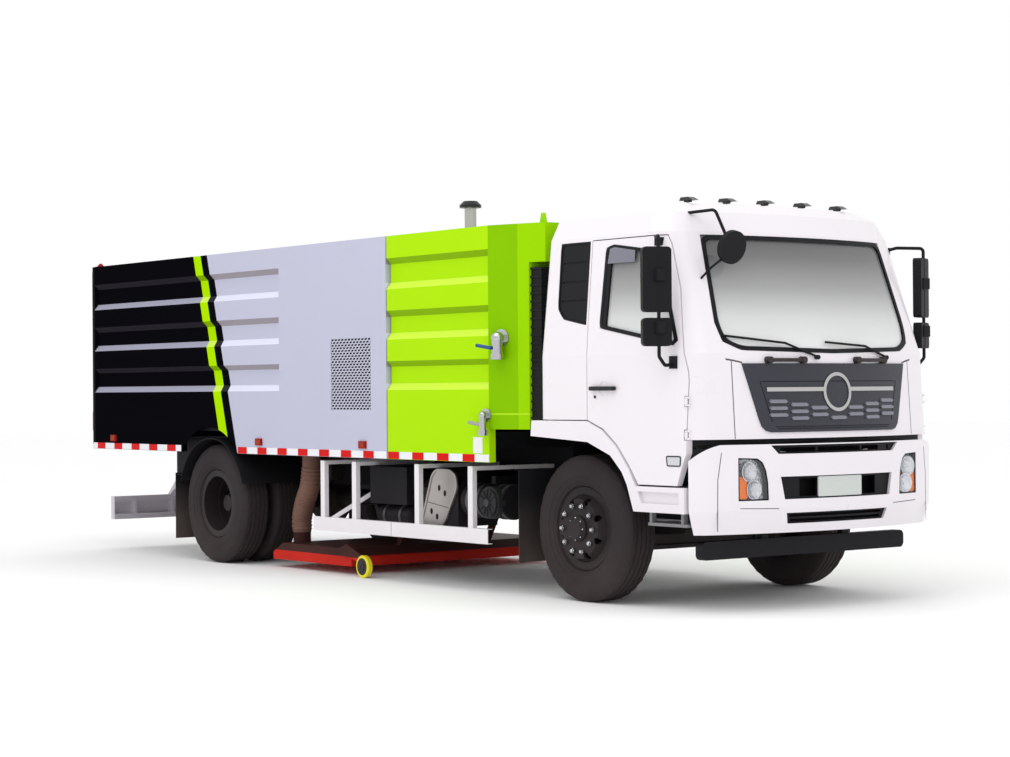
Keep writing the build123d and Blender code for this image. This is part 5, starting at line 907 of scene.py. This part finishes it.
# ---- Number plate and seams ----------------------------------------------------------------
# A bare pressed plate in the middle of the centre opening, and the fine seams and creases of the bumper and
# the front panel; the bumper crease is a dark line of painted shade.
PLATE_YZ = oblong(-0.211, 0.771, 0.211, 0.908)
plate_grey = finish("bare_number_plate", (0.57, 0.60, 0.58), 0.45, mottle=0.02, slot="white_paint")
seam_and_crease_shade = finish("dark_panel_seam", (0.10, 0.09, 0.10), 0.7, shine=0.1)
sheet_on("number_plate", PLATE_YZ, on_front(1, BUMPER_FRONT), (-0.0215, -0.012), plate_grey, corner=0.01,
         rings=2)


def seam(name, path, surface, body="chassis", width=0.004, proud=0.0006, material=seam_and_crease_shade):
    """Fine line that lies on a surface along a path."""
    points = []
    for start, end in zip(path, path[1:]):
        start, end = Vector(start), Vector(end)
        parts = max(1, floor((end - start).length / 0.06))
        points += [start.lerp(end, k / parts) for k in range(parts)]
    points.append(Vector(path[-1]))
    loops = []
    for k, here in enumerate(points):
        along = (points[min(k + 1, len(points) - 1)] - points[max(k - 1, 0)]).normalized()
        across = Vector((-along.y, along.x)) * width / 2
        section = ((across, -0.001), (across, proud), (-across, proud), (-across, -0.001))
        loops.append([surface(*(here + offset), lift) for offset, lift in section])
    return piece(name, skinned(loops), material, body)


for side, hand in SIDES:
    bumper, front = on_front(side, BUMPER_FRONT), on_front(side)
    # Painted shade along the bumper's crease.
    seam("bumper_crease_" + hand, [(0.560, 0.700), (0.860, 0.708)], bumper, width=0.005)
    seam("front_panel_seam_" + hand, [(0.866, 1.176), (0.864, 1.706)], front, "cab", 0.006)
    seam("brow_seam_" + hand, [(0.785, 1.689), (0.850, 1.703), (0.905, 1.712)], front, "cab", 0.011)

# ---- Door handles and door badges ----------------------------------------------------------
# Black paddle handles over a pressed scoop near each door's rear edge, a lock below, and a
# small bare badge plate low down at the front.
HANDLE_Z = 1.520
#                 from, to, out of the skin from, to, below the handle's middle, above it, edge radius
HANDLE_PARTS = [("door_handle_{}", 210, 480, 0.010, 0.034, 0.014, 0.016, 0.009),
                ("handle_foot_{}_235", 221, 249, 0.0, 0.014, 0.012, 0.014, 0.003),
                ("handle_foot_{}_455", 441, 469, 0.0, 0.014, 0.012, 0.014, 0.003)]
SCOOP = circle(24, 0.062, (0.345, HANDLE_Z))
LOCK = circle(12, 0.011, (0.245, 1.462))
BADGE_XZ = [(1.000, 0.992), (1.128, 0.992), (1.132, 1.064), (0.992, 1.064)]
handle_plastic = finish("satin_black_handle", (0.010, 0.010, 0.012), 0.35, shine=0.3)
badge_plastic = finish("bare_badge_plate", (0.60, 0.60, 0.64), 0.3, 0.3, slot="white_paint")


def bar_on(name, first, second, bevel, material, body="chassis"):
    """Box with rounded edges between two corners."""
    levels = [sorted(pair) for pair in zip(first, second)]
    work = bmesh.new()
    bmesh.ops.create_cube(work, size=1.0)
    for vertex in work.verts:
        vertex.co = [levels[axis][vertex.co[axis] > 0] for axis in range(3)]
    bmesh.ops.bevel(work, geom=list(work.edges), offset=bevel, segments=3, profile=0.6, affect="EDGES")
    mesh = bpy.data.meshes.new(name)
    work.to_mesh(mesh)
    work.free()
    return settle(name, mesh, material, body)


for side, hand in SIDES:
    skin, door = on_side(side), hand + "_door"
    wall = skin(0.210, HANDLE_Z, 0.0).y
    band("handle_scoop_" + hand, SCOOP, 0.010, skin, (-0.001, 0.0025), cab_white, door, 0.0)
    for name, start, end, near, far, below, above, edge in HANDLE_PARTS:
        bar_on(name.format(hand), (at(start), wall + side * near, HANDLE_Z - below),
               (at(end), wall + side * far, HANDLE_Z + above), edge, handle_plastic, door)
    sheet_on("door_lock_" + hand, LOCK, skin, (-0.001, 0.004), handle_plastic, door)
    sheet_on("door_badge_" + hand, BADGE_XZ, skin, (-0.001, 0.004), badge_plastic, door, corner=0.015,
             rings=2)
    band("door_badge_rim_" + hand, BADGE_XZ, 0.008, skin, (0.003, 0.006), seal_rubber, door, 0.015)

# ---- Black apron under the cab front -------------------------------------------------------
# Dark rubber hung behind the gap between the front panel and the bumper; it tilts with the
# cab and hides the frame's nose.
sheet_on("front_apron", oblong(-1.03, 1.128, 1.03, 1.180), on_front(), (-0.062, -0.048), seal_rubber, "cab",
         rings=2)

# ---- Slats of the grille -------------------------------------------------------------------
# Short bright-edged slats in seven columns, each nearer the middle a little lower, clipped on
# the grille's plate round the ring; a tree stands them along the arch of the plate.
SLAT_LENGTH, SLAT_HEIGHT, SLAT_RISE = 0.154, 0.027, 0.0132
SLAT_LIFT = 0.0135
SLAT_PITCH = -0.046
GRILLE_SLOPE = -0.0687
LINE_PROUD = 0.0150
#             name, columns, rows, first across, column step, first height
SLAT_SETS = [("outer", 2, 3, -0.531, 1.062, 1.425), ("second", 2, 3, -0.354, 0.708, 1.402),
             ("third", 2, 2, -0.177, 0.354, 1.379), ("middle", 1, 1, 0.0, 0.1, 1.310)]
GRILLE_LINES = [("low", [(-0.560, 1.252), (0.560, 1.252)]), ("lower", [(-0.545, 1.238), (0.545, 1.238)]),
                ("frame", [(-0.585, 1.285), (-0.665, 1.560), (0.665, 1.560), (0.585, 1.285)])]


def slats_on_arch():
    """Tree that stands copies along an arch: Columns at Column Step across, Rows going down."""
    floats = ("First_Across", "Column_Step", "First_Height", "Row_Step", "Arch_Radius", "Front_At_Foot",
              "Foot_Height", "Slope")
    tree, given, index = new_tree("slats_on_arch", Columns="Int", Rows="Int",
                                  **dict.fromkeys(floats, "Float"))
    row = ((index + 0.01) / given["Columns"]).do("FLOOR")
    across = index.do("MODULO", given["Columns"]) * given["Column_Step"] + given["First_Across"]
    height = row * given["Row_Step"] + given["First_Height"]
    radius = given["Arch_Radius"]
    level = (radius * radius - across * across).do("SQRT") - radius
    reach = (height - given["Foot_Height"]) * given["Slope"] + (given["Front_At_Foot"] + level)
    place = add_node(tree, "ShaderNodeCombineXYZ", X=reach, Y=across, Z=height)
    turn = add_node(tree, "ShaderNodeCombineXYZ", Z=(across / radius).do("ARCSINE"))
    return copied(tree, given, given["Columns"] * given["Rows"], place.outputs[0], turn.outputs[0])


def slat_bar(length, height, rise):
    """Six-cornered bar with a sloping top that catches the light, its back at X = 0."""
    half, tall, slant = length / 2, height / 2, height * 0.45
    back = [(-half, 0), (-half + slant, tall), (half - slant, tall), (half, 0), (half - slant, -tall),
            (-half + slant, -tall)]
    face = [(rise * (0.75 if z > 0 else 1.0), y * 0.97, z * 0.8 - 0.002) for y, z in back]
    return skinned([[(0.0, y, z) for y, z in back], face])


slat_plastic = finish("pale_grille_slat", (0.19, 0.195, 0.235), 0.3, grain=(300.0, 0.02),
                      slot="grille_plastic")
arch_tree = slats_on_arch()
for name, columns, rows, across, step, height in SLAT_SETS:
    slat = slat_bar(SLAT_LENGTH, SLAT_HEIGHT, SLAT_RISE)
    grow("grille_slats_" + name, slat, arch_tree, "cab", Columns=columns,
         Rows=rows, First_Across=across, Column_Step=step, First_Height=height, Row_Step=SLAT_PITCH,
         Arch_Radius=SKIN_ARC, Front_At_Foot=FRONT_AXLE_X + GRILLE_FOOT_X + SLAT_LIFT,
         Foot_Height=GRILLE_FOOT_Z, Slope=GRILLE_SLOPE, Finish=slat_plastic)
# Dark strips of painted shadow along the grille's grooves.
groove_shadow_strips = finish("grille_groove_shadow", (0.008, 0.008, 0.012), 0.6, shine=0.1)
for name, path in GRILLE_LINES:
    seam("grille_line_" + name, path, on_front(), "cab", 0.005, LINE_PROUD, groove_shadow_strips)

# ---- Mirrors -------------------------------------------------------------------------------
# Silvered glass let into the rear of each mirror head, turned in towards the driver, and the
# clamp blocks that hold the heads on their bar.
MIRROR_BAR_X, MIRROR_BAR_Y = 1062, 1.305
MIRROR_HEADS = [(2.029, 2.468), (1.801, 1.991)]
MIRROR_TOE = radians(26)
HEAD_BACK = 0.026
GLASS_LEVELS, GLASS_HALF, GLASS_EDGE = (-0.035, -0.030), 0.085, 0.014
mirror_silver = finish("mirror_silver", (0.75, 0.77, 0.80), 0.04, 1.0, mottle=0.0, grain=(10.0, 0.0),
                       slot="chromed")
for side, hand in SIDES:
    x, y = at(MIRROR_BAR_X), side * MIRROR_BAR_Y
    turned = Matrix.Rotation(side * MIRROR_TOE, 3, "Z")
    for number, (low, high) in enumerate(MIRROR_HEADS):
        outline = rounded(oblong(-GLASS_HALF, low + GLASS_EDGE, GLASS_HALF, high - GLASS_EDGE), 0.022)
        spots, faces = prism(outline, *GLASS_LEVELS, 0)
        spots = [tuple(turned @ Vector((*spot[:2], 0)) + Vector((x - HEAD_BACK, y, spot[2])))
                 for spot in spots]
        piece(f"mirror_glass_{hand}_{number}", (spots, faces), mirror_silver, hand + "_door")
        clamp = (low + high) / 2 + 0.03
        bar_on(f"mirror_clamp_{hand}_{number}", (x - 0.020, y - 0.036, clamp - 0.042),
               (x + 0.034, y + 0.036, clamp + 0.042), 0.008, black_plastic, hand + "_door")

# ---- Body lamps ----------------------------------------------------------------------------
# Amber-red lenses clipped on the marker lamps along the body, and a red dome on a black foot
# at each rear top corner.
MARKERS_AT = (-6857, -4187, -2585)
MARKER_Z, MARKER_HALF = (1.063, 1.107), 36
LAMP_PROUD, LENS_THICK = 0.016, 0.004
DOME_RADIUS, DOME_FOOT = 0.036, 0.040
CORNER_LAMP_AT, CORNER_LAMP_Y = -7232, 1.190
lamp_dark_red = finish("amber_red_lens", (0.32, 0.030, 0.008), 0.3, mottle=0.35, grain=(130.0, 0.5),
                       shine=0.08, slot="lamp_red")
for side, hand in SIDES:
    face, across = side * (HALF_BODY + LAMP_PROUD), side * CORNER_LAMP_Y
    for place in MARKERS_AT:
        bar_on(f"marker_lens_{hand}_{-place}", (at(place - MARKER_HALF), face, MARKER_Z[0]),
               (at(place + MARKER_HALF), face + side * LENS_THICK, MARKER_Z[1]), 0.0018, lamp_dark_red,
               "tank")
    dome = dish(f"corner_lamp_{hand}", Vector((0, 0, 0)), DOME_RADIUS, -0.03, lamp_red, "tank", 20, 5)
    for vertex in dome.data.vertices:
        x, y, z = vertex.co
        vertex.co = (at(CORNER_LAMP_AT) + y, across + z, BODY_TOP + max(x, 0.0) * 1.2)
    foot = Vector((at(CORNER_LAMP_AT), across, BODY_TOP))
    bar_on(f"corner_lamp_foot_{hand}", foot - Vector((DOME_FOOT, DOME_FOOT, 0)),
           foot + Vector((DOME_FOOT, DOME_FOOT, 0.006)), 0.002, black_plastic, "tank")

# ---- Seats ---------------------------------------------------------------------------------
# Two sprung seats in grey cloth: a crowned cushion, a back with a sewn channel down each side
# and a head rest, each stuffed with foam, on a black box base.
SEATS_Y = (-0.560, 0.560)
SEAT_BASE_AT, SEAT_BASE_Z, SEAT_BASE_HALF = (180, 560), (1.231, 1.500), 0.200
CHANNEL_PLACE, CHANNEL_DEPTH = 0.6, 0.012
#            name, place along X, height, half sizes, lean, crown
SEAT_PADS = [("seat_cushion_", 370, 1.562, (0.235, 0.235, 0.048), 0.0, 0.022),
             ("seat_back_", 110, 1.890, (0.300, 0.225, 0.046), radians(-98), 0.020),
             ("head_rest_", 62, 2.292, (0.088, 0.120, 0.036), radians(-94), 0.012)]
seat_cloth = finish("grey_seat_cloth", (0.06, 0.06, 0.07), 0.85, mottle=0.1, grain=(500.0, 0.3),
                    slot="seat_fabric")
dress(seat_cloth, "seats")


def pillow(name, middle, size, lean, crown):
    """Crowned closed form whose sides pull in between its corners, leaned back about Y."""
    work = bmesh.new()
    bmesh.ops.create_cube(work, size=2.0)
    bmesh.ops.subdivide_edges(work, edges=list(work.edges), cuts=9, use_grid_fill=True)
    tilt = Matrix.Rotation(lean, 3, "Y")
    for vertex in work.verts:
        u, v, w = vertex.co
        belly = (1 - u * u) * (1 - v * v)
        pull = 1 - 0.05 * (1 - abs(u)) * abs(v) - 0.05 * (1 - abs(v)) * abs(u)
        channel = CHANNEL_DEPTH if abs(abs(v) - CHANNEL_PLACE) < 0.05 and w > 0.9 else 0.0
        soft = 1 - 0.10 * (u * u * v * v)
        local = Vector((u * size[0] * pull, v * size[1] * pull,
                        w * size[2] * soft + w * crown * belly - channel))
        vertex.co = tilt @ local + Vector(middle)
    mesh = bpy.data.meshes.new(name)
    work.to_mesh(mesh)
    work.free()
    made = settle(name, mesh, seat_cloth, "cab", smooth=True)
    rounding = made.modifiers.new("sewn_edges", "SUBSURF")
    rounding.levels = 1
    rounding.render_levels = 1
    return made


for across, hand in zip(SEATS_Y, ("right", "left")):
    pads = [pillow(name + hand, (at(x), across, z), size, lean, crown)
            for name, x, z, size, lean, crown in SEAT_PADS]
    bar_on("seat_base_" + hand, (at(SEAT_BASE_AT[0]), across - SEAT_BASE_HALF, SEAT_BASE_Z[0]),
           (at(SEAT_BASE_AT[1]), across + SEAT_BASE_HALF, SEAT_BASE_Z[1]), 0.012, black_plastic, "cab")
    if hand == "right":
        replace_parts(pads[0], "seats")

# ---- Arch panels ---------------------------------------------------------------------------
# The sheet of each side comes down in a round arch over the rear wheels, close round the
# black wing; the corner sheets carry the side's own colours.
ARCH_MIDDLE = Vector((-5.0525, 0.5345))
ARCH_RADIUS = 0.6705
ARCH_REACH = 0.495
ARCH_THICK = 0.006
ARCH_EDGE = [(-4.550, 0.979), (-4.550, 1.085), (-4.670, 1.205), (-5.435, 1.205), (-5.555, 1.085),
             (-5.555, 0.979)]
for side, hand in SIDES:
    levels = (side * HALF_BODY, side * (HALF_BODY - ARCH_THICK))
    for number, run in enumerate((ARCH_EDGE[:4], ARCH_EDGE[:1:-1])):
        outer = []
        for start, end in zip(run, run[1:]):
            outer += [Vector(start).lerp(Vector(end), k / 12) for k in range(12)]
        loops = []
        for point in [point for point in outer if abs(point.x - run[0][0]) < ARCH_REACH]:
            arm = point - ARCH_MIDDLE
            inner = ARCH_MIDDLE + arm * min(1.0, ARCH_RADIUS / arm.length)
            section = ((point, levels[0]), (inner, levels[0]), (inner, levels[1]), (point, levels[1]))
            loops.append([(FRONT_AXLE_X + spot.x, level, spot.y) for spot, level in section])
        piece(f"arch_corner_{hand}_{number}", skinned(loops, caps=False), striped_paint_and_flank_light, "tank")

# ---- Heat shield and guard brace -----------------------------------------------------------
# A bright sheet with two pairs of holes, drawn as dark discs of painted shade, and a pressed rim, hung on
# the side box, and the white brace behind the guard posts.
SHIELD_XZ = [(-2.103, 0.462), (-1.790, 0.462), (-1.606, 0.760), (-1.622, 0.862), (-1.700, 0.904),
             (-1.890, 0.904), (-1.950, 0.858)]
SHIELD_Y = -1.0215
GUARD_BRACE = ((at(-3130), -1.192, 0.470), (at(-2801), -0.860, 0.760))
SHIELD_HOLES = [(-1.850, 0.755), (-1.775, 0.715), (-1.955, 0.570), (-1.880, 0.530)]
shield_metal = finish("bright_heat_shield", (0.42, 0.39, 0.38), 0.38, 0.75, mottle=0.15, grain=(30.0, 0.08),
                      slot="grey_alloy")
hole_shade = finish("dark_punched_hole", (0.02, 0.02, 0.02), 0.8, shine=0.1)


def on_shield(u, v, lift):
    """Flat upright surface of the heat shield, facing right."""
    return Vector((FRONT_AXLE_X + u, SHIELD_Y - lift, v))


def strut(name, start, end, half, material, body="chassis", sides=4):
    """Straight bar between two points."""
    start, end = Vector(start), Vector(end)
    first = (end - start).normalized().cross(Vector((0, 0, 1))).normalized()
    second = (end - start).normalized().cross(first)
    turns = [2 * pi * (k + 0.5) / sides for k in range(sides)]
    section = [(first * cos(turn) + second * sin(turn)) * half for turn in turns]
    return piece(name, skinned([[spot + arm for arm in section] for spot in (start, end)]), material, body)


sheet_on("heat_shield", SHIELD_XZ, on_shield, (0.0, 0.010), shield_metal, corner=0.07, rings=2)
band("heat_shield_rib", SHIELD_XZ, 0.016, on_shield, (0.009, 0.016), shield_metal, corner=0.07)
seam("heat_shield_seam", [(-2.005, 0.640), (-1.700, 0.600)], on_shield, width=0.006, proud=0.0105)
# Dark discs of painted shade stand for the holes.
for number, spot in enumerate(SHIELD_HOLES):
    sheet_on(f"shield_hole_{number}", circle(16, 0.017, spot, 0.024), on_shield, (0.009, 0.0108), hole_shade)
strut("guard_brace", *GUARD_BRACE, 0.024, cab_white)

# ---- Corners of the bumper -----------------------------------------------------------------
# Dark rubber hung round each corner of the gap under the cab, tilting with it, and the seam
# where the bumper's end piece meets its middle.
CORNER_APRON_XZ = oblong(1.168, 1.128, 1.280, 1.178)
CORNER_SEAM_YZ = [(0.992, 1.085), (1.020, 0.900), (1.024, 0.560)]
for side, hand in SIDES:
    sheet_on("corner_apron_" + hand, CORNER_APRON_XZ, on_side(side), (-0.060, -0.048), seal_rubber, "cab",
             rings=2)
    seam("bumper_corner_seam_" + hand, CORNER_SEAM_YZ, on_front(side, BUMPER_FRONT), width=0.005)

# ---- Drain and wash valves -----------------------------------------------------------------
# Quarter-turn levers on the valve bodies, the upper one in a blue grip.
#          place along X, height, bore
VALVES = [(-790, 1.900, 0.046), (-930, 1.330, 0.030)]
lever_finishes = (finish("blue_lever_grip", (0.01, 0.07, 0.22), 0.4, shine=0.4, slot="steel"),
                  finish("brushed_steel", (0.42, 0.41, 0.40), 0.3, 1.0, mottle=0.15, grain=(200.0, 0.05),
                         slot="steel"))
for number, (x, z, bore) in enumerate(VALVES):
    root = Vector((at(x) + 0.004, -1.245 - bore * 0.6, z - 0.075))
    strut(f"valve_lever_{number}", root + Vector((0, -bore, 0)),
          root + Vector((-0.150, -bore - 0.02, 0.022)), 0.014, lever_finishes[number], sides=8)

# ---- Backing behind the bumper openings ----------------------------------------------------
# Black sheet that closes the vents and slots of the bumper at the back, painted shade seen through the
# openings.
#           name, half width, from, to, how far behind the bumper's skin
OPENINGS = [("top", 0.560, 1.062, 1.108, 0.140), ("centre", 0.500, 0.740, 0.930, 0.098),
            ("low", 0.620, 0.575, 0.690, 0.098)]
for name, half, low, high, behind in OPENINGS:
    sheet_on("backing_" + name, oblong(-half, low, half, high), on_front(1, BUMPER_FRONT),
             (-behind - 0.006, -behind), shade_backing, corner=0.01, rings=2)

# ---- Grab rails under the windscreen -------------------------------------------------------
# Two short dark rails with round feet below the glass, for reaching the wipers.
RAILS_Y = [(-0.610, -0.285), (0.200, 0.530)]
RAIL_Z = 1.706
RAIL_LIFT = 0.034
front = on_front()
rail_dark = finish("brown_black_rail", (0.030, 0.020, 0.022), 0.45, mottle=0.2, shine=0.3)
for number, (start, end) in enumerate(RAILS_Y):
    strut(f"grab_rail_{number}", front(start, RAIL_Z, RAIL_LIFT), front(end, RAIL_Z, RAIL_LIFT), 0.013,
          rail_dark, "cab", 10)
    for foot, across in enumerate((start + 0.02, end - 0.02)):
        strut(f"grab_rail_foot_{number}_{foot}", front(across, RAIL_Z, -0.002),
              front(across, RAIL_Z, RAIL_LIFT + 0.012), 0.024, rail_dark, "cab", 10)

# ---- Ribs of the suction hoses -------------------------------------------------------------
# Wire-wound rubber hose: the outside swells over every turn of the wire from the nozzle's
# neck up to the collar under the floor.
RIB_PITCH = 0.034
RIB_SWELL = 0.0045
HOSE_BORE = 0.0805
HOSE_LINE = [(-4130, 0.860, 0.318), (-4130, 0.860, 0.420), (-4050, 0.880, 0.560), (-3930, 0.905, 0.700),
             (-3900, 0.905, 0.860)]


def swelling_tube():
    """Tube along a path whose radius swells and sinks once in every Pitch of its length."""
    tree, given, _ = new_tree("swelling_tube", Pitch="Float", Swell="Float", Radius="Float")
    path = add_node(tree, "GeometryNodeMeshToCurve", Mesh=given["Geometry"])
    path = add_node(tree, "GeometryNodeCurveSplineType", {"spline_type": "CATMULL_ROM"},
                    Curve=path.outputs[0])
    path = add_node(tree, "GeometryNodeResampleCurve", {"mode": "LENGTH"}, Curve=path.outputs[0],
                    Length=given["Pitch"] / 4.0)
    travelled = Wire(tree, tree.nodes.new("GeometryNodeSplineParameter").outputs["Length"])
    swollen = (travelled * (2 * pi) / given["Pitch"]).do("COSINE") * given["Swell"] + given["Radius"]
    ring = add_node(tree, "GeometryNodeCurvePrimitiveCircle", Resolution=36, Radius=1.0)
    tube = add_node(tree, "GeometryNodeCurveToMesh", Curve=path.outputs[0], Scale=swollen,
                    Profile_Curve=ring.outputs[0], Fill_Caps=True)
    shaded = add_node(tree, "GeometryNodeSetShadeSmooth", Geometry=tube.outputs[0])
    return finish_tree(tree, given, shaded)


hose_tree = swelling_tube()
for side, hand in SIDES:
    line = [(at(x), side * y, z) for x, y, z in HOSE_LINE]
    grow("hose_ribs_" + hand, (line, []), hose_tree, edges=[(k, k + 1) for k in range(len(line) - 1)],
         Pitch=RIB_PITCH, Swell=RIB_SWELL, Radius=HOSE_BORE + RIB_SWELL, Finish=hose_rubber)

# ---- Air reservoirs and pump ---------------------------------------------------------------
# Between the guard and the front wheel: steel bands round the outer reservoir, a smaller
# reservoir with its own bands lower down, and the round finned cover of the wash pump.
RESERVOIR_YZ, RESERVOIR_RADIUS = (-0.930, 0.669), 0.130
RESERVOIR_BANDS_AT = (-1450, -1330, -1120, -1035)
LOW_YZ, LOW_RADIUS = (-0.915, 0.508), 0.092
LOW_ENDS_AT, LOW_BANDS_AT = (-2760, -2320), (-2650, -2430)
#        how far past the straight end, share of the radius, from one end to the other
DOME = [(0.027, 0.45), (0.016, 0.80), (0.0, 1.0), (-0.006, 1.0)]
PUMP = Vector((at(-1120), -1.092, 0.668))
#             name, corners, radius, from and to along Y, whether it is the bright hub
PUMP_DISCS = [("pump_body", 40, 0.122, 0.0, 0.060, False), ("pump_cover", 40, 0.104, -0.018, -0.001, False),
              ("pump_hub", 24, 0.030, -0.034, -0.017, True)]
FIN_HALF, FIN_HALF_WIDTH = 0.031, 0.0035
band_steel = finish("dull_band_steel", (0.10, 0.10, 0.105), 0.45, 0.6, mottle=0.2, shine=0.3,
                    slot="grey_alloy")
pump_metal = finish("dark_pump_casting", (0.035, 0.035, 0.038), 0.5, 0.4, mottle=0.3, grain=(80.0, 0.4),
                    shine=0.3, slot="dark_metal")


def hoop(name, x, width, inner, outer, middle):
    """Flat steel ring round a lengthwise axis."""
    section = ((inner, -width / 2), (outer, -width / 2), (outer, width / 2), (inner, width / 2))
    loops = [[(x + along, *spot) for spot in circle(40, reach, middle)] for reach, along in section]
    piece(name, skinned(loops, closed=True), band_steel)


for number, x in enumerate(RESERVOIR_BANDS_AT):
    hoop(f"reservoir_band_{number}", at(x), 0.032, RESERVOIR_RADIUS - 0.002, RESERVOIR_RADIUS + 0.005,
         RESERVOIR_YZ)
start, end = [at(x) for x in LOW_ENDS_AT]
profile = [(start - past, share) for past, share in DOME]
profile += [(end + past, share) for past, share in reversed(DOME)]
loops = [[(x, *spot) for spot in circle(40, LOW_RADIUS * share, LOW_YZ)] for x, share in profile]
piece("low_reservoir", skinned(loops), frame_paint, smooth=True)
for number, x in enumerate(LOW_BANDS_AT):
    hoop(f"low_reservoir_band_{number}", at(x), 0.030, LOW_RADIUS - 0.002, LOW_RADIUS + 0.006, LOW_YZ)
for name, count, radius, start, end, bright in PUMP_DISCS:
    disc = prism(circle(count, radius, PUMP.xz), PUMP.y + start, PUMP.y + end)
    piece(name, disc, band_steel if bright else pump_metal)
fin = prism(oblong(-FIN_HALF, -FIN_HALF_WIDTH, FIN_HALF, FIN_HALF_WIDTH), -0.025, -0.016)
grow("pump_fins", fin, ring_tree, Count=12, Radius=0.067, Centre=tuple(PUMP), Finish=pump_metal)

# ---- Rear window of the cab and the bare label ---------------------------------------------
# A flat pane held by a rubber surround in the cab's back wall, and a blank white sticker low
# down at the front corner of the fixed bay.
REAR_PANE_HALF, REAR_OPENING_HALF = 0.5585, 0.560
REAR_PANE_MIDDLE_Z = 2.075
#             height of the pane's edge, height of the opening's edge
REAR_PANE_Z = ((1.8015, 1.800), (2.3485, 2.350))
PANE_HALF_THICK = 0.0025
STICKER_XZ = oblong(at(-1105), 1.045, at(-990), 1.165)
wall_points = [vertex.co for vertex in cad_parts["cab_shell"].data.vertices if vertex.co.x < at(0)]


def wall_middle(level):
    """Middle of the cab's back wall at a height, from the edges of its window."""
    found = [spot.x for spot in wall_points
             if abs(abs(spot.y) - REAR_OPENING_HALF) < 0.002 and abs(spot.z - level) < 0.004]
    return (min(found) + max(found)) / 2


pane = []
for along in (-PANE_HALF_THICK, PANE_HALF_THICK):
    pane.append([Vector((wall_middle(REAR_PANE_Z[up][1]) + along, across * REAR_PANE_HALF,
                         REAR_PANE_Z[up][0]))
                 for across, up in ((-1, 0), (1, 0), (1, 1), (-1, 1))])
piece("rear_pane", skinned(pane), window_glass("tinted_rear_glass", (0.30, 0.34, 0.33), 0.45), "cab",
      closed=True)
for number in range(4):
    start, end = pane[0][number], pane[0][(number + 1) % 4]
    centre = Vector((start.x, 0, REAR_PANE_MIDDLE_Z))
    strut(f"rear_pane_seal_{number}", start.lerp(centre, 0.016), end.lerp(centre, 0.016), 0.011,
          seal_rubber, "cab")
piece("bare_sticker", prism(STICKER_XZ, -HALF_BODY - TAPE_THICK, -HALF_BODY), tape_white)
